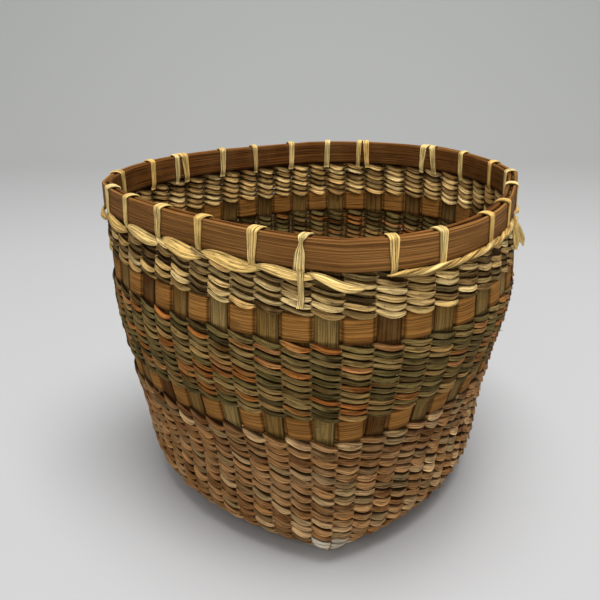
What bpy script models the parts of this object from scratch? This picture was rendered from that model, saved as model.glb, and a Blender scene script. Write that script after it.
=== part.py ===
"""A small twined and plaited basket, modelled piece by piece.

Flat stakes are plaited into a square base, turn up at its edge and run straight
up the wall. Three twined zones and two plain hoops hold them apart, and two rim
hoops clamp their ends, bound on by one long lashing strand. Metres, +Z up, with
the base on the ground and the basket's outline centred on the origin.
"""

import math

import bmesh
import bpy
from mathutils import Vector

# Stakes: flat strips, half of them running along X across the base, half along Y.
STAKES_PER_SIDE = 13
STAKE_THICKNESS = 0.0006
STAKE_WIDTH_BASE = 0.0060
STAKE_GAP_BASE = 0.0013
STAKE_GAP_TURN = 0.0024
STAKE_GAP_RIM = 0.0021
FIT_GAP = 0.0003

# Overall shape of the wall, measured at the middle of the stakes.
RIM_RADIUS = 0.0869
WALL_HEIGHT = 0.1496
STAKE_END_DROP = 0.001

# What stands on the wall, from the rim down and from the ground up.
RIM_HOOP_HEIGHT = 0.0114
RIM_HOOP_THICKNESS = 0.0015
LASHING_ROOM = 0.0045
UPPER_ZONE_HEIGHT = 0.01225
PLAIN_HOOP_HEIGHT = 0.0105
PLAIN_HOOP_THICKNESS = 0.0006
MIDDLE_ZONE_HEIGHT = 0.0327
ZONE_SKIN = 0.0007
ZONE_START_HEIGHT = 0.003

# Where the flare ends and the belly lies, in shares of the lower zone's height.
FLARE_HEIGHT_SHARE = 0.27
BELLY_HEIGHT_SHARE = 0.65

# How far out each level of the wall stands, from the base's mean radius to the
# rim's, and how round it is, from the square base to the round rim. The levels
# are the zone's start, the flare, the belly, the two plain hoops' lower edges
# and the stakes' ends.
SWELL_SHARES = (0.173, 0.532, 0.637, 0.830, 1.066, 1.0)
ROUND_SHARES = (0.398, 0.653, 0.638, 0.763, 0.927, 0.830)
SQUARE_MEAN_SHARE = 1.122

# The hand-made outline is a little three-sided at the rim, and its mouth stands
# a little to one side of its base.
LEAN_SHARE = 0.066
LEAN_LOBES = 3
LEAN_TURN = math.radians(90.4)
MOUTH_SHIFT = Vector((0.0006, 0.0027, 0))

# The woven rows lie tilted, most of all at the lower hoop.
TILT_RISE = 0.005
TILT_SHARES = (0.0, 0.35, 0.80, 1.0, 0.28, 0.0)
TILT_TURN = math.radians(41.6)

# Lashing: a split strand, flat over the rim and rolled into a cord between wraps.
LASHING_WIDTH = 0.0034
LASHING_THICKNESS = 0.0007
LASHING_CORD = 0.0013
RETURN_CORD = 0.0016
TUCK_LENGTH = 0.010
TAIL_DROP = 0.010
TAIL_REACH = 0.0022
# The stakes after which the strand passes through the wall, in its own order.
WRAP_STAKES = (
    44, 42, 40, 38, 36, 33, 30, 28, 26, 24, 22,
    20, 18, 16, 12, 10, 8, 5, 3, 0, -2, -4, -6,
)
RETURN_STAKES = (-5, -4, -3, -2, -1, 0, 1, 2)
# The stakes after which each rim hoop's two ends meet, under a wrap.
OUTER_JOINT_STAKE = 46
INNER_JOINT_STAKE = 12

STAKE_COUNT = 4 * STAKES_PER_SIDE
QUARTER_TURN = math.pi / 2
STAKE_TURN = QUARTER_TURN / STAKES_PER_SIDE
BASE_PITCH = STAKE_WIDTH_BASE + STAKE_GAP_BASE
BASE_HALF_SIDE = BASE_PITCH * STAKES_PER_SIDE / 2
BASE_MEAN_RADIUS = BASE_HALF_SIDE * SQUARE_MEAN_SHARE
MIDDLE_STAKE = (STAKES_PER_SIDE - 1) // 2

PLY_STEP = STAKE_THICKNESS + FIT_GAP
BASE_LOW = STAKE_THICKNESS / 2
BASE_MIDDLE = BASE_LOW + PLY_STEP
BASE_HIGH = BASE_MIDDLE + PLY_STEP
CROSSING_HALF = STAKE_WIDTH_BASE / 2 + FIT_GAP
TURN_REACH = MIDDLE_STAKE * BASE_PITCH + CROSSING_HALF

STAKE_TOP = WALL_HEIGHT - STAKE_END_DROP
RIM_HOOP_BOTTOM = WALL_HEIGHT - RIM_HOOP_HEIGHT
UPPER_ZONE_TOP = RIM_HOOP_BOTTOM - LASHING_ROOM
UPPER_HOOP_TOP = UPPER_ZONE_TOP - UPPER_ZONE_HEIGHT
UPPER_HOOP_BOTTOM = UPPER_HOOP_TOP - PLAIN_HOOP_HEIGHT
LOWER_HOOP_TOP = UPPER_HOOP_BOTTOM - MIDDLE_ZONE_HEIGHT
LOWER_HOOP_BOTTOM = LOWER_HOOP_TOP - PLAIN_HOOP_HEIGHT
FLARE_HEIGHT = LOWER_HOOP_BOTTOM * FLARE_HEIGHT_SHARE
BELLY_HEIGHT = LOWER_HOOP_BOTTOM * BELLY_HEIGHT_SHARE
LEVELS = (
    ZONE_START_HEIGHT,
    FLARE_HEIGHT,
    BELLY_HEIGHT,
    LOWER_HOOP_BOTTOM,
    UPPER_HOOP_BOTTOM,
    STAKE_TOP,
)
UP = Vector((0, 0, 1))


def new_material(name, colour, roughness):
    """A plain Principled material."""
    material = bpy.data.materials.new(name)
    material.use_nodes = True
    shader = material.node_tree.nodes["Principled BSDF"]
    shader.inputs["Base Color"].default_value = (*colour, 1)
    shader.inputs["Roughness"].default_value = roughness
    shader.inputs["Metallic"].default_value = 0
    return material


def new_object(name, bm, material, parent):
    """Turn a bmesh into a named object with its faces outward.

    A strip's faces and those of the slot round it are warped alike, so both are
    split along their shorter diagonal and stay apart.
    """
    bmesh.ops.recalc_face_normals(bm, faces=bm.faces[:])
    bmesh.ops.triangulate(bm, faces=bm.faces[:], quad_method="SHORT_EDGE")
    mesh = bpy.data.meshes.new(name)
    bm.to_mesh(mesh)
    bm.free()
    mesh.materials.append(material)
    piece = bpy.data.objects.new(name, mesh)
    bpy.context.scene.collection.objects.link(piece)
    piece.parent = parent
    return piece


def mix(first, second, share):
    """The point this share of the way from the first to the second."""
    return first + (second - first) * share


def mitred(first, second):
    """The offset direction where two faces with these normals meet."""
    return (first + second) / (1 + first.dot(second) / (first.length * second.length))


def swell_of_level(level):
    """Mean radius, roundness and height share of a level of the wall."""
    radius = mix(BASE_MEAN_RADIUS, RIM_RADIUS, SWELL_SHARES[level])
    return radius, ROUND_SHARES[level], LEVELS[level] / STAKE_TOP


def outline_point(turn, level, side=None):
    """A point of the stakes' mid-surface, turn being counted in stakes."""
    angle = turn * STAKE_TURN
    if side is None:
        side = round(angle / QUARTER_TURN)
    along = angle - side * QUARTER_TURN
    radius, roundness, height_share = swell_of_level(level)
    half_side = radius / SQUARE_MEAN_SHARE
    square = Vector((half_side, half_side * along / (QUARTER_TURN / 2), 0))
    circle = Vector((radius * math.cos(along), radius * math.sin(along), 0))
    point = mix(square, circle, roundness)
    lean = LEAN_SHARE * height_share * math.cos(LEAN_LOBES * (angle - LEAN_TURN))
    point *= 1 + lean
    turned = side * QUARTER_TURN
    across = Vector((math.cos(turned), math.sin(turned), 0))
    beside = Vector((-math.sin(turned), math.cos(turned), 0))
    tilt = TILT_RISE * TILT_SHARES[level] * math.cos(angle - TILT_TURN)
    place = across * point.x + beside * point.y + MOUTH_SHIFT * height_share
    return place + UP * (LEVELS[level] + tilt)


def level_frame(turn, level):
    """Point, unit tangent, outward offset and stake width at a level."""
    side = round(turn * STAKE_TURN / QUARTER_TURN)
    ahead = outline_point(turn + 0.5, level, side)
    behind = outline_point(turn - 0.5, level, side)
    tangent = (ahead - behind).normalized()
    point = outline_point(turn, level, side)
    slopes = []
    if level > 0:
        slopes.append(point - outline_point(turn, level - 1, side))
    if level < len(LEVELS) - 1:
        slopes.append(outline_point(turn, level + 1, side) - point)
    normals = [tangent.cross(slope).normalized() for slope in slopes]
    out = mitred(normals[0], normals[-1])
    gap = mix(STAKE_GAP_TURN, STAKE_GAP_RIM, LEVELS[level] / STAKE_TOP)
    return point, tangent, out, (ahead - behind).length - gap


def level_below(height):
    """The wall level at or under a height, and how far the height is past it."""
    level = 0
    while level < len(LEVELS) - 2 and height >= LEVELS[level + 1]:
        level += 1
    return level, (height - LEVELS[level]) / (LEVELS[level + 1] - LEVELS[level])


def stake_point(turn, height, edge, past_edge, out):
    """A point beside a stake: edge is -1 or 1 for its edges and 0 for its middle."""
    level, share = level_below(height)
    ends = []
    for at in (level, level + 1):
        point, tangent, normal, width = level_frame(turn, at)
        ends.append(point + tangent * (edge * (width / 2 + past_edge)) + normal * out)
    return mix(ends[0], ends[1], share)


def gap_point(turn, height, out):
    """The point midway between the stake at turn and the next one."""
    level, share = level_below(height)
    ends = []
    for at in (level, level + 1):
        here, tangent, normal, _ = level_frame(turn, at)
        there, next_tangent, next_normal, _ = level_frame(turn + 1, at)
        half_cosine = math.sqrt((1 + tangent.dot(next_tangent)) / 2)
        reach = (there - here).length / 2 / half_cosine
        corner = mix(here + tangent * reach, there - next_tangent * reach, 0.5)
        ends.append(corner + mitred(normal, next_normal) * out)
    return mix(ends[0], ends[1], share)


def sweep(name, loops, material, parent):
    """A closed solid through four-cornered sections, capped at both ends."""
    bm = bmesh.new()
    rings = [[bm.verts.new(corner) for corner in loop] for loop in loops]
    for ring, following in zip(rings, rings[1:]):
        for i in range(4):
            j = (i + 1) % 4
            bm.faces.new((ring[i], ring[j], following[j], following[i]))
    bm.faces.new(rings[0])
    bm.faces.new(rings[-1])
    return new_object(name, bm, material, parent)


def wall_section(turn, height, flip):
    """The four corners of a stake's section on the wall."""
    half = STAKE_THICKNESS / 2
    return [
        stake_point(turn, height, edge * flip, 0, out)
        for edge, out in ((-1, half), (1, half), (1, -half), (-1, -half))
    ]


def base_section(across, beside, reach, offset, height):
    """The four corners of a stake's section where it crosses the base."""
    half_width = beside * (STAKE_WIDTH_BASE / 2)
    under = UP * (-STAKE_THICKNESS / 2)
    middle = across * reach + beside * offset + UP * height
    return [
        middle + half_width * edge + under * out
        for edge, out in ((-1, 1), (1, 1), (1, -1), (-1, -1))
    ]


def stake(name, number, crosswise, material, parent):
    """One strip: down one wall, over the base and up the wall opposite."""
    offset_steps = number - MIDDLE_STAKE
    offset = offset_steps * BASE_PITCH
    if crosswise:
        across = Vector((0, 1, 0))
        beside = Vector((-1, 0, 0))
        far_turn = STAKES_PER_SIDE + offset_steps
        near_turn = 3 * STAKES_PER_SIDE - offset_steps
    else:
        across = Vector((1, 0, 0))
        beside = Vector((0, 1, 0))
        far_turn = offset_steps
        near_turn = 2 * STAKES_PER_SIDE - offset_steps
    loops = [wall_section(near_turn, height, -1) for height in reversed(LEVELS)]
    if crosswise:
        for crossing in range(STAKES_PER_SIDE):
            over = (crossing + number) % 2
            height = BASE_HIGH if over else BASE_LOW
            centre = (crossing - MIDDLE_STAKE) * BASE_PITCH
            for reach in (centre - CROSSING_HALF, centre + CROSSING_HALF):
                loops.append(base_section(across, beside, reach, offset, height))
    else:
        for reach in (-TURN_REACH, TURN_REACH):
            loops.append(base_section(across, beside, reach, offset, BASE_MIDDLE))
    loops += [wall_section(far_turn, height, 1) for height in LEVELS]
    return sweep(name, loops, material, parent)


def twined_zone(name, bottom, top, material, parent):
    """A ring of twining round the stakes, with a slot for each of them."""
    heights = [bottom] + [at for at in LEVELS if bottom < at < top] + [top]
    slot_half = STAKE_THICKNESS / 2 + FIT_GAP
    skin = slot_half + ZONE_SKIN
    bm = bmesh.new()
    outer, inner, slots = [], [], []
    for turn in range(STAKE_COUNT):
        outer.append([bm.verts.new(gap_point(turn, at, skin)) for at in heights])
        inner.append([bm.verts.new(gap_point(turn, at, -skin)) for at in heights])
        corners = []
        for edge, out in ((-1, slot_half), (1, slot_half), (1, -slot_half), (-1, -slot_half)):
            places = [stake_point(turn, at, edge, FIT_GAP, out) for at in heights]
            corners.append([bm.verts.new(place) for place in places])
        slots.append(corners)
    for turn in range(STAKE_COUNT):
        before = turn - 1
        slot = slots[turn]
        walls = [(outer[before], outer[turn]), (inner[turn], inner[before])]
        walls += [(slot[(i + 1) % 4], slot[i]) for i in range(4)]
        for start, end in walls:
            for low in range(len(heights) - 1):
                high = low + 1
                bm.faces.new((start[low], end[low], end[high], start[high]))
        frame = (outer[before], outer[turn], inner[turn], inner[before])
        for end in (0, -1):
            for i in range(4):
                j = (i + 1) % 4
                bm.faces.new((frame[i][end], frame[j][end], slot[j][end], slot[i][end]))
    return new_object(name, bm, material, parent)


def plain_hoop(name, bottom, top, material, parent):
    """A flat strip woven behind the odd stakes and in front of the even ones."""
    offset = STAKE_THICKNESS / 2 + FIT_GAP + PLAIN_HOOP_THICKNESS / 2
    half = PLAIN_HOOP_THICKNESS / 2
    low = bottom + FIT_GAP
    high = top - FIT_GAP
    loops = []
    for turn in range(STAKE_COUNT):
        middle = -offset if turn % 2 else offset
        for edge in (-1, 1):
            loops.append([
                stake_point(turn, at, edge, FIT_GAP, middle + out)
                for at, out in ((low, half), (high, half), (high, -half), (low, -half))
            ])
    return sweep(name, loops, material, parent)


def rim_hoop(name, facing, joint_stake, material, parent):
    """A bent strip along the stakes' ends, outside them for 1, inside for -1."""
    near = facing * (STAKE_THICKNESS / 2 + FIT_GAP)
    far = near + facing * RIM_HOOP_THICKNESS
    corners = (
        (RIM_HOOP_BOTTOM, near),
        (WALL_HEIGHT, near),
        (WALL_HEIGHT, far),
        (RIM_HOOP_BOTTOM, far),
    )
    loops = []
    for step in range(STAKE_COUNT + 1):
        turn = joint_stake + step
        loop = [gap_point(turn, at, out) for at, out in corners]
        if step in (0, STAKE_COUNT):
            tangent = level_frame(turn + 0.5, len(LEVELS) - 1)[1]
            shift = tangent * (FIT_GAP if step == 0 else -FIT_GAP)
            loop = [corner + shift for corner in loop]
        loops.append(loop)
    return sweep(name, loops, material, parent)


def rim_frame(turn):
    """Unit tangent and level outward normal of the rim at a turn."""
    tangent = level_frame(turn, len(LEVELS) - 1)[1]
    return tangent, tangent.cross(UP).normalized()


def strand_section(turn, out, height, side, normal):
    """The corners of the strand: side and normal are half sizes along tangent, out, up."""
    tangent, outward = rim_frame(turn)
    level, share = level_below(height)
    below = outline_point(turn, level)
    centre = mix(below, outline_point(turn, level + 1), share) + outward * out

    def turned(sizes):
        return tangent * sizes[0] + outward * sizes[1] + UP * sizes[2]

    half_side = turned(side)
    half_normal = turned(normal)
    return [
        centre - half_side + half_normal,
        centre + half_side + half_normal,
        centre + half_side - half_normal,
        centre - half_side - half_normal,
    ]


def rim_lashing(name, material, parent):
    """One strand: tucked start, wraps with a run between each, return run and tail."""
    flat = LASHING_THICKNESS / 2
    wide = LASHING_WIDTH / 2
    cord = LASHING_CORD / 2
    hoop_face = STAKE_THICKNESS / 2 + FIT_GAP + RIM_HOOP_THICKNESS
    wrap_out = hoop_face + FIT_GAP + flat
    wrap_top = WALL_HEIGHT + FIT_GAP + flat
    zone_face = STAKE_THICKNESS / 2 + FIT_GAP + ZONE_SKIN
    run_out = hoop_face
    through_height = UPPER_ZONE_TOP + FIT_GAP + cord
    run_height = RIM_HOOP_BOTTOM - FIT_GAP - 2 * cord
    shoulder = run_height + cord
    loops = []

    def add(turn, out, height, side, normal):
        loops.append(strand_section(turn, out, height, side, normal))

    first = WRAP_STAKES[0] + 0.5
    tuck_out = zone_face + FIT_GAP + flat
    add(first, tuck_out, UPPER_ZONE_TOP - TUCK_LENGTH, (cord, 0, 0), (0, flat, 0))
    add(first, tuck_out, UPPER_ZONE_TOP + FIT_GAP, (cord, 0, 0), (0, flat, 0))
    for place, stake_number in enumerate(WRAP_STAKES):
        turn = stake_number + 0.5
        if place:
            add(turn, run_out, run_height, (0, 0, cord), (0, cord, 0))
        add(turn, wrap_out + cord, shoulder, (cord, 0, cord), (0, flat, 0))
        add(turn, wrap_out, RIM_HOOP_BOTTOM + wide, (wide, 0, 0), (0, flat, 0))
        add(turn, wrap_out, wrap_top, (wide, 0, 0), (0, flat, flat))
        add(turn, -wrap_out, wrap_top, (wide, 0, 0), (0, -flat, flat))
        add(turn, -wrap_out, RIM_HOOP_BOTTOM, (wide, 0, 0), (0, -flat, 0))
        add(turn, -hoop_face, through_height, (cord, 0, 0), (0, -cord, -cord))
        add(turn, run_out, through_height, (cord, cord, 0), (0, 0, -cord))
        if place == len(WRAP_STAKES) - 1:
            continue
        next_turn = WRAP_STAKES[place + 1] + 0.5
        count = int(round(turn - next_turn))
        for step in range(1, count):
            share = step / count
            height = mix(through_height, run_height, share)
            twist = share * math.pi / 2
            rise = cord * math.sin(twist)
            level = cord * math.cos(twist)
            add(turn - step, run_out, height, (0, level, rise), (0, rise, -level))
    return sweep(name, loops, material, parent)


def lashing_return(name, material, parent):
    """The strand's end, twisted back along the rim to its loose tail."""
    half = RETURN_CORD / 2
    flat = LASHING_THICKNESS / 2
    hoop_face = STAKE_THICKNESS / 2 + FIT_GAP + RIM_HOOP_THICKNESS
    out = hoop_face + LASHING_CORD / 2 + FIT_GAP + half
    low = UPPER_ZONE_TOP - half
    loops = []
    for stake_number in RETURN_STAKES:
        turn = stake_number + 0.5
        loops.append(strand_section(turn, out, low, (0, 0, half), (0, half, 0)))
    last = RETURN_STAKES[-1] + 1
    tail_out = out + TAIL_REACH / 2
    end_out = out + TAIL_REACH
    loops.append(strand_section(last, tail_out, low - half, (half, 0, half), (0, flat, 0)))
    loops.append(strand_section(last, end_out, low - TAIL_DROP, (half, 0, 0), (0, flat, 0)))
    return sweep(name, loops, material, parent)


def build():
    """Clear the scene and make every piece of the basket."""
    for old in list(bpy.data.objects):
        bpy.data.objects.remove(old)
    basket = bpy.data.objects.new("basket", None)
    bpy.context.scene.collection.objects.link(basket)

    bark = new_material("stake bark", (0.34, 0.22, 0.11), 0.75)
    plain = new_material("plain hoop bark", (0.45, 0.24, 0.11), 0.7)
    rim = new_material("rim hoop wood", (0.36, 0.18, 0.08), 0.65)
    tan = new_material("tan twining", (0.42, 0.26, 0.13), 0.8)
    green = new_material("green twining", (0.30, 0.25, 0.12), 0.8)
    cream = new_material("cream twining", (0.58, 0.45, 0.25), 0.8)
    pale = new_material("pale lashing", (0.70, 0.55, 0.30), 0.7)

    for number in range(STAKES_PER_SIDE):
        stake(f"stake_x_{number + 1:02d}", number, False, bark, basket)
        stake(f"stake_y_{number + 1:02d}", number, True, bark, basket)
    twined_zone("lower_twined_zone", ZONE_START_HEIGHT, LOWER_HOOP_BOTTOM, tan, basket)
    plain_hoop("lower_plain_hoop", LOWER_HOOP_BOTTOM, LOWER_HOOP_TOP, plain, basket)
    twined_zone("middle_twined_zone", LOWER_HOOP_TOP, UPPER_HOOP_BOTTOM, green, basket)
    plain_hoop("upper_plain_hoop", UPPER_HOOP_BOTTOM, UPPER_HOOP_TOP, plain, basket)
    twined_zone("upper_twined_zone", UPPER_HOOP_TOP, UPPER_ZONE_TOP, cream, basket)
    rim_hoop("rim_hoop_outer", 1, OUTER_JOINT_STAKE, rim, basket)
    rim_hoop("rim_hoop_inner", -1, INNER_JOINT_STAKE, rim, basket)
    rim_lashing("rim_lashing", pale, basket)
    lashing_return("lashing_tail", pale, basket)

    corners = [
        corner.co
        for piece in basket.children
        for corner in piece.data.vertices
    ]
    centre = [
        (min(corner[axis] for corner in corners) + max(corner[axis] for corner in corners)) / 2
        for axis in (0, 1)
    ]
    basket.location = (-centre[0], -centre[1], 0)


build()
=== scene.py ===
"""The looks of a small twined basket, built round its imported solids.

The wall's mid-surface is worked out once, as the solids have it but smooth. Every
piece is then a strip or a strand carried along that surface: split stakes, rows of
paired twisted strands, woven plain hoops, two split rim hoops and the strand that
binds them. Metres, +Z up.
"""

from __future__ import annotations

import logging
import math
from dataclasses import dataclass, field
from enum import Enum
from typing import ClassVar, Mapping, Sequence, Union

import bpy
import numpy as np
from bpy.types import Material, Node, NodeSocket, NodeTree, Object
from mathutils import Matrix, Vector
from numpy.typing import NDArray


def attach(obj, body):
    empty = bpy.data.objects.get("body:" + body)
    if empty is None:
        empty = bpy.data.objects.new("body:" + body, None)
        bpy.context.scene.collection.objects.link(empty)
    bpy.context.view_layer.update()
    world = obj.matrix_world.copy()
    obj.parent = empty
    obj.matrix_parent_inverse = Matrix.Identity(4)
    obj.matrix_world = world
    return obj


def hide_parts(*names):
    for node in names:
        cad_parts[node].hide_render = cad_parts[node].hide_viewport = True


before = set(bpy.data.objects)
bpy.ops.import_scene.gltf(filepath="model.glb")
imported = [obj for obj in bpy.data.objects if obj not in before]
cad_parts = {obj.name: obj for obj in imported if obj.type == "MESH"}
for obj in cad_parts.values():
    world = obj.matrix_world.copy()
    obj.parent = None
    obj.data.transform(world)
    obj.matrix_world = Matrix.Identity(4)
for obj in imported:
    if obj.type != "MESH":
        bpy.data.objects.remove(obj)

Array = NDArray[np.float64]
Whole = NDArray[np.int_]
Random = np.random.Generator
Numbers = Union[Array, float]
Span = tuple[float, float]
Colour = tuple[float, float, float, float]
Source = Union[NodeSocket, float, tuple]

BODY = "root"
MM = 0.001
UV_PER_METRE = 100.0
UV_LAYER = "lay"
LAY_APART = 0.07
TURN = 2.0 * math.pi
QUARTER_TURN = math.pi / 2
CLIMB_SAMPLES = 2000
EDGE_START = 0.72
HALF_ROUND_POINTS = 5
LEVEL = np.array((1.0, 1.0, 0.0))
UP = np.array((0.0, 0.0, 1.0))
log = logging.getLogger("basket")


def seen(red: float, green: float, blue: float) -> Colour:
    """The linear colour of a tone as it shows on a screen, each part 0 to 255.

    A share s is s / 12.92 in the darkest part, and above that (s + 0.055) / 1.055 to
    the power 2.4, as screens have it.
    """
    shares = np.array((red, green, blue)) / 255.0
    linear = np.where(shares <= 0.04045, shares / 12.92, ((shares + 0.055) / 1.055) ** 2.4)
    return (float(linear[0]), float(linear[1]), float(linear[2]), 1.0)


def tone_stops(*stops: tuple[float, float, float, float]) -> tuple[tuple[float, Colour], ...]:
    """The stops of a ramp, each from its place and its tone on a screen."""
    return tuple((place, seen(*tone)) for place, *tone in stops)


def unit(vectors: Array) -> Array:
    """Each vector divided by its own length."""
    return vectors / np.linalg.norm(vectors, axis=-1, keepdims=True)


def upright_to(vectors: Array, heading: Array) -> Array:
    """Each vector without its part along the heading, as a unit vector."""
    return unit(vectors - heading * (vectors * heading).sum(axis=-1, keepdims=True))


def mix(first: Numbers, second: Numbers, share: Numbers) -> Numbers:
    """The value this share of the way from the first to the second."""
    return first + (second - first) * share


def smooth_step(value: Numbers) -> Numbers:
    """Rises from 0 to 1 as the value does, level at both ends: v squared times 3 - 2v."""
    held = np.clip(value, 0.0, 1.0)
    return held * held * (3.0 - 2.0 * held)


def step_over(value: Numbers, low: float, high: float) -> Numbers:
    """Rises from 0 to 1 as the value goes from low to high, level at both ends."""
    return smooth_step((value - low) / (high - low))


def ring_wave(rng: Random, angle: Array, lobes: Sequence[int], size: float, rows: int = 1) -> Array:
    """Slow unevenness round a ring that meets itself.

    Each row is the sum, over the lobe counts k, of size times sin(k angle + phase)
    divided by the root of k, with phases of its own.

    Args:
        rng: Source of the phases.
        angle: Angles round the ring, in radians.
        lobes: How many times each sine goes up and down in one turn.
        size: Height of a sine of one lobe.
        rows: How many uneven lines to make.

    Returns:
        An array of rows by angles.
    """
    counts = np.array(lobes, float)
    phases = rng.uniform(0.0, TURN, (rows, len(lobes), 1))
    sines = np.sin(counts[None, :, None] * angle[None, None, :] + phases)
    return size * (sines / np.sqrt(counts)[None, :, None]).sum(axis=1)


@dataclass(frozen=True)
class Heights:
    """Where the rows start and end on the wall, before they tilt."""

    base: float = 0.0012
    start: float = 0.003
    lower_hoop: Span = (0.06775, 0.07825)
    upper_hoop: Span = (0.11095, 0.12145)
    zone_start: float = 0.0016
    zone_top: float = 0.1379
    rim: Span = (0.1382, 0.1496)
    stake_top: float = 0.1486
    tail_low: float = 0.1240


@dataclass
class WallShape:
    """The stakes' mid-surface, from the square base's edge to the round rim.

    A place on it has a turn, counted in stakes from +X, and a climb, the length up
    the wall from the base's edge. Radius, roundness, height and tilt follow the
    climb on monotone cubics through the levels of the solids.
    """

    heights: Heights = Heights()
    stakes_per_side: int = 13
    base_pitch: float = 0.0073
    rim_radius: float = 0.0869
    square_mean_share: float = 1.122
    lean_share: float = 0.066
    lean_lobes: int = 3
    lean_angle: float = math.radians(90.4)
    centre: Span = (-0.00148, -0.00707)
    mouth_shift: Span = (0.0006, 0.0027)
    flare_height_share: float = 0.27
    belly_height_share: float = 0.65
    swell_shares: tuple[float, ...] = (0.0, 0.173, 0.532, 0.637, 0.830, 1.066, 1.0)
    round_shares: tuple[float, ...] = (0.0, 0.398, 0.653, 0.638, 0.763, 0.927, 0.830)
    tilt_rise: float = 0.005
    tilt_shares: tuple[float, ...] = (0.0, 0.0, 0.35, 0.80, 1.0, 0.28, 0.0)
    tilt_angle: float = math.radians(41.6)
    knots: Array = field(init=False)
    levels: Array = field(init=False)
    slopes: Array = field(init=False)

    def __post_init__(self) -> None:
        """Lays the cubics through the levels, with slopes that never overshoot.

        The slope at a knot is the harmonic mean of the chords' slopes, or 0 at a turn.
        """
        hoop = self.heights.lower_hoop[0]
        heights = np.array((
            self.heights.base,
            self.heights.start,
            hoop * self.flare_height_share,
            hoop * self.belly_height_share,
            hoop,
            self.heights.upper_hoop[0],
            self.heights.stake_top,
        ))
        base_radius = self.half_side * self.square_mean_share
        radii = base_radius + (self.rim_radius - base_radius) * np.array(self.swell_shares)
        steps = np.hypot(np.diff(radii), np.diff(heights))
        self.knots = np.concatenate(([0.0], np.cumsum(steps)))
        tilts = self.tilt_rise * np.array(self.tilt_shares)
        self.levels = np.column_stack((radii, np.array(self.round_shares), heights, tilts))
        chords = np.diff(self.levels, axis=0) / np.diff(self.knots)[:, None]
        before, after = chords[:-1], chords[1:]
        same_way = before * after > 0.0
        total = np.where(same_way, before + after, 1.0)
        inner = np.where(same_way, 2.0 * before * after / total, 0.0)
        self.slopes = np.concatenate((chords[:1], inner, chords[-1:]))

    @property
    def stake_count(self) -> int:
        """Stake ends round the wall."""
        return 4 * self.stakes_per_side

    @property
    def middle_stake(self) -> int:
        """Number of the stake through the middle of the base."""
        return (self.stakes_per_side - 1) // 2

    @property
    def half_side(self) -> float:
        """Half the side of the square base."""
        return self.base_pitch * self.stakes_per_side / 2.0

    @property
    def stake_angle(self) -> float:
        """Angle between neighbouring stakes."""
        return QUARTER_TURN / self.stakes_per_side

    @property
    def rim_pitch(self) -> float:
        """Distance between neighbouring stakes at the rim."""
        return TURN * self.rim_radius / self.stake_count

    def profile(self, climb: Array) -> Array:
        """Radius, roundness, height and tilt at each climb, on the last axis.

        Between knots it is the cubic Hermite curve, and past the ends it goes on
        straight.
        """
        piece = np.clip(np.searchsorted(self.knots, climb, "right") - 1, 0, len(self.knots) - 2)
        span = (self.knots[piece + 1] - self.knots[piece])[..., None]
        raw = (climb[..., None] - self.knots[piece][..., None]) / span
        at = np.clip(raw, 0.0, 1.0)
        leave, arrive = self.slopes[piece] * span, self.slopes[piece + 1] * span
        curve = mix(self.levels[piece], self.levels[piece + 1], smooth_step(at))
        curve = curve + leave * at * (1.0 - at) ** 2 - arrive * at * at * (1.0 - at)
        past = raw - at
        return curve + past * np.where(past > 0.0, arrive, leave)

    def climb_at(self, height: float) -> float:
        """The climb at which the wall has this height."""
        climbs = np.linspace(0.0, float(self.knots[-1]), CLIMB_SAMPLES)
        return float(np.interp(height, self.profile(climbs)[:, 2], climbs))

    def point(self, turn: Numbers, climb: Numbers, side: Array | None = None) -> Array:
        """Places on the mid-surface.

        Each is the mix of a square's point and a circle's by the roundness, stretched
        by the lean times cos(lobes times angle) and turned to its side of the base.
        Its height is the level's plus the tilt times the cosine of its angle.

        Args:
            turn: Places round the wall, in stakes.
            climb: Places up the wall.
            side: Side of the square each place is worked out on, or its own.

        Returns:
            Points on the last axis.
        """
        turn, climb = np.broadcast_arrays(np.asarray(turn, float), np.asarray(climb, float))
        radius, roundness, height, tilt = np.moveaxis(self.profile(climb), -1, 0)
        angle = turn * self.stake_angle
        if side is None:
            side = np.round(angle / QUARTER_TURN)
        along = angle - side * QUARTER_TURN
        half = radius / self.square_mean_share
        share = height / self.heights.stake_top
        lean = 1.0 + self.lean_share * share * np.cos(self.lean_lobes * (angle - self.lean_angle))
        across = mix(half, radius * np.cos(along), roundness) * lean
        beside = mix(half * along / (QUARTER_TURN / 2.0), radius * np.sin(along), roundness) * lean
        turned = side * QUARTER_TURN
        x = across * np.cos(turned) - beside * np.sin(turned) + self.centre[0]
        y = across * np.sin(turned) + beside * np.cos(turned) + self.centre[1]
        x, y = x + self.mouth_shift[0] * share, y + self.mouth_shift[1] * share
        return np.stack((x, y, height + tilt * np.cos(angle - self.tilt_angle)), axis=-1)

    def axes(
        self, turn: Numbers, climb: Numbers, reach: float = 0.3, own_side: bool = False
    ) -> tuple[Array, Array, Array, Array]:
        """The surface's points, with the directions round the wall, up it and out of it.

        Args:
            turn: Places round the wall, in stakes.
            climb: Places up the wall.
            reach: How far to each side the first direction is measured, in stakes.
            own_side: Whether that keeps to the place's own side of the square.

        Returns:
            Points and the three unit directions at them.
        """
        turn, climb = np.broadcast_arrays(np.asarray(turn, float), np.asarray(climb, float))
        side = np.round(turn * self.stake_angle / QUARTER_TURN) if own_side else None
        half_step = 0.5 * MM
        tangent = unit(self.point(turn + reach, climb, side) - self.point(turn - reach, climb, side))
        rise = self.point(turn, climb + half_step, side) - self.point(turn, climb - half_step, side)
        outward = unit(np.cross(tangent, rise))
        return self.point(turn, climb, side), tangent, np.cross(outward, tangent), outward

    def rim_axes(self, turn: Array) -> tuple[Array, Array, Array]:
        """Points, tangents and level outward directions at the stakes' ends."""
        centre, tangent, _, outward = self.axes(turn, self.knots[-1])
        return centre, tangent, unit(outward * LEVEL)


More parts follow.
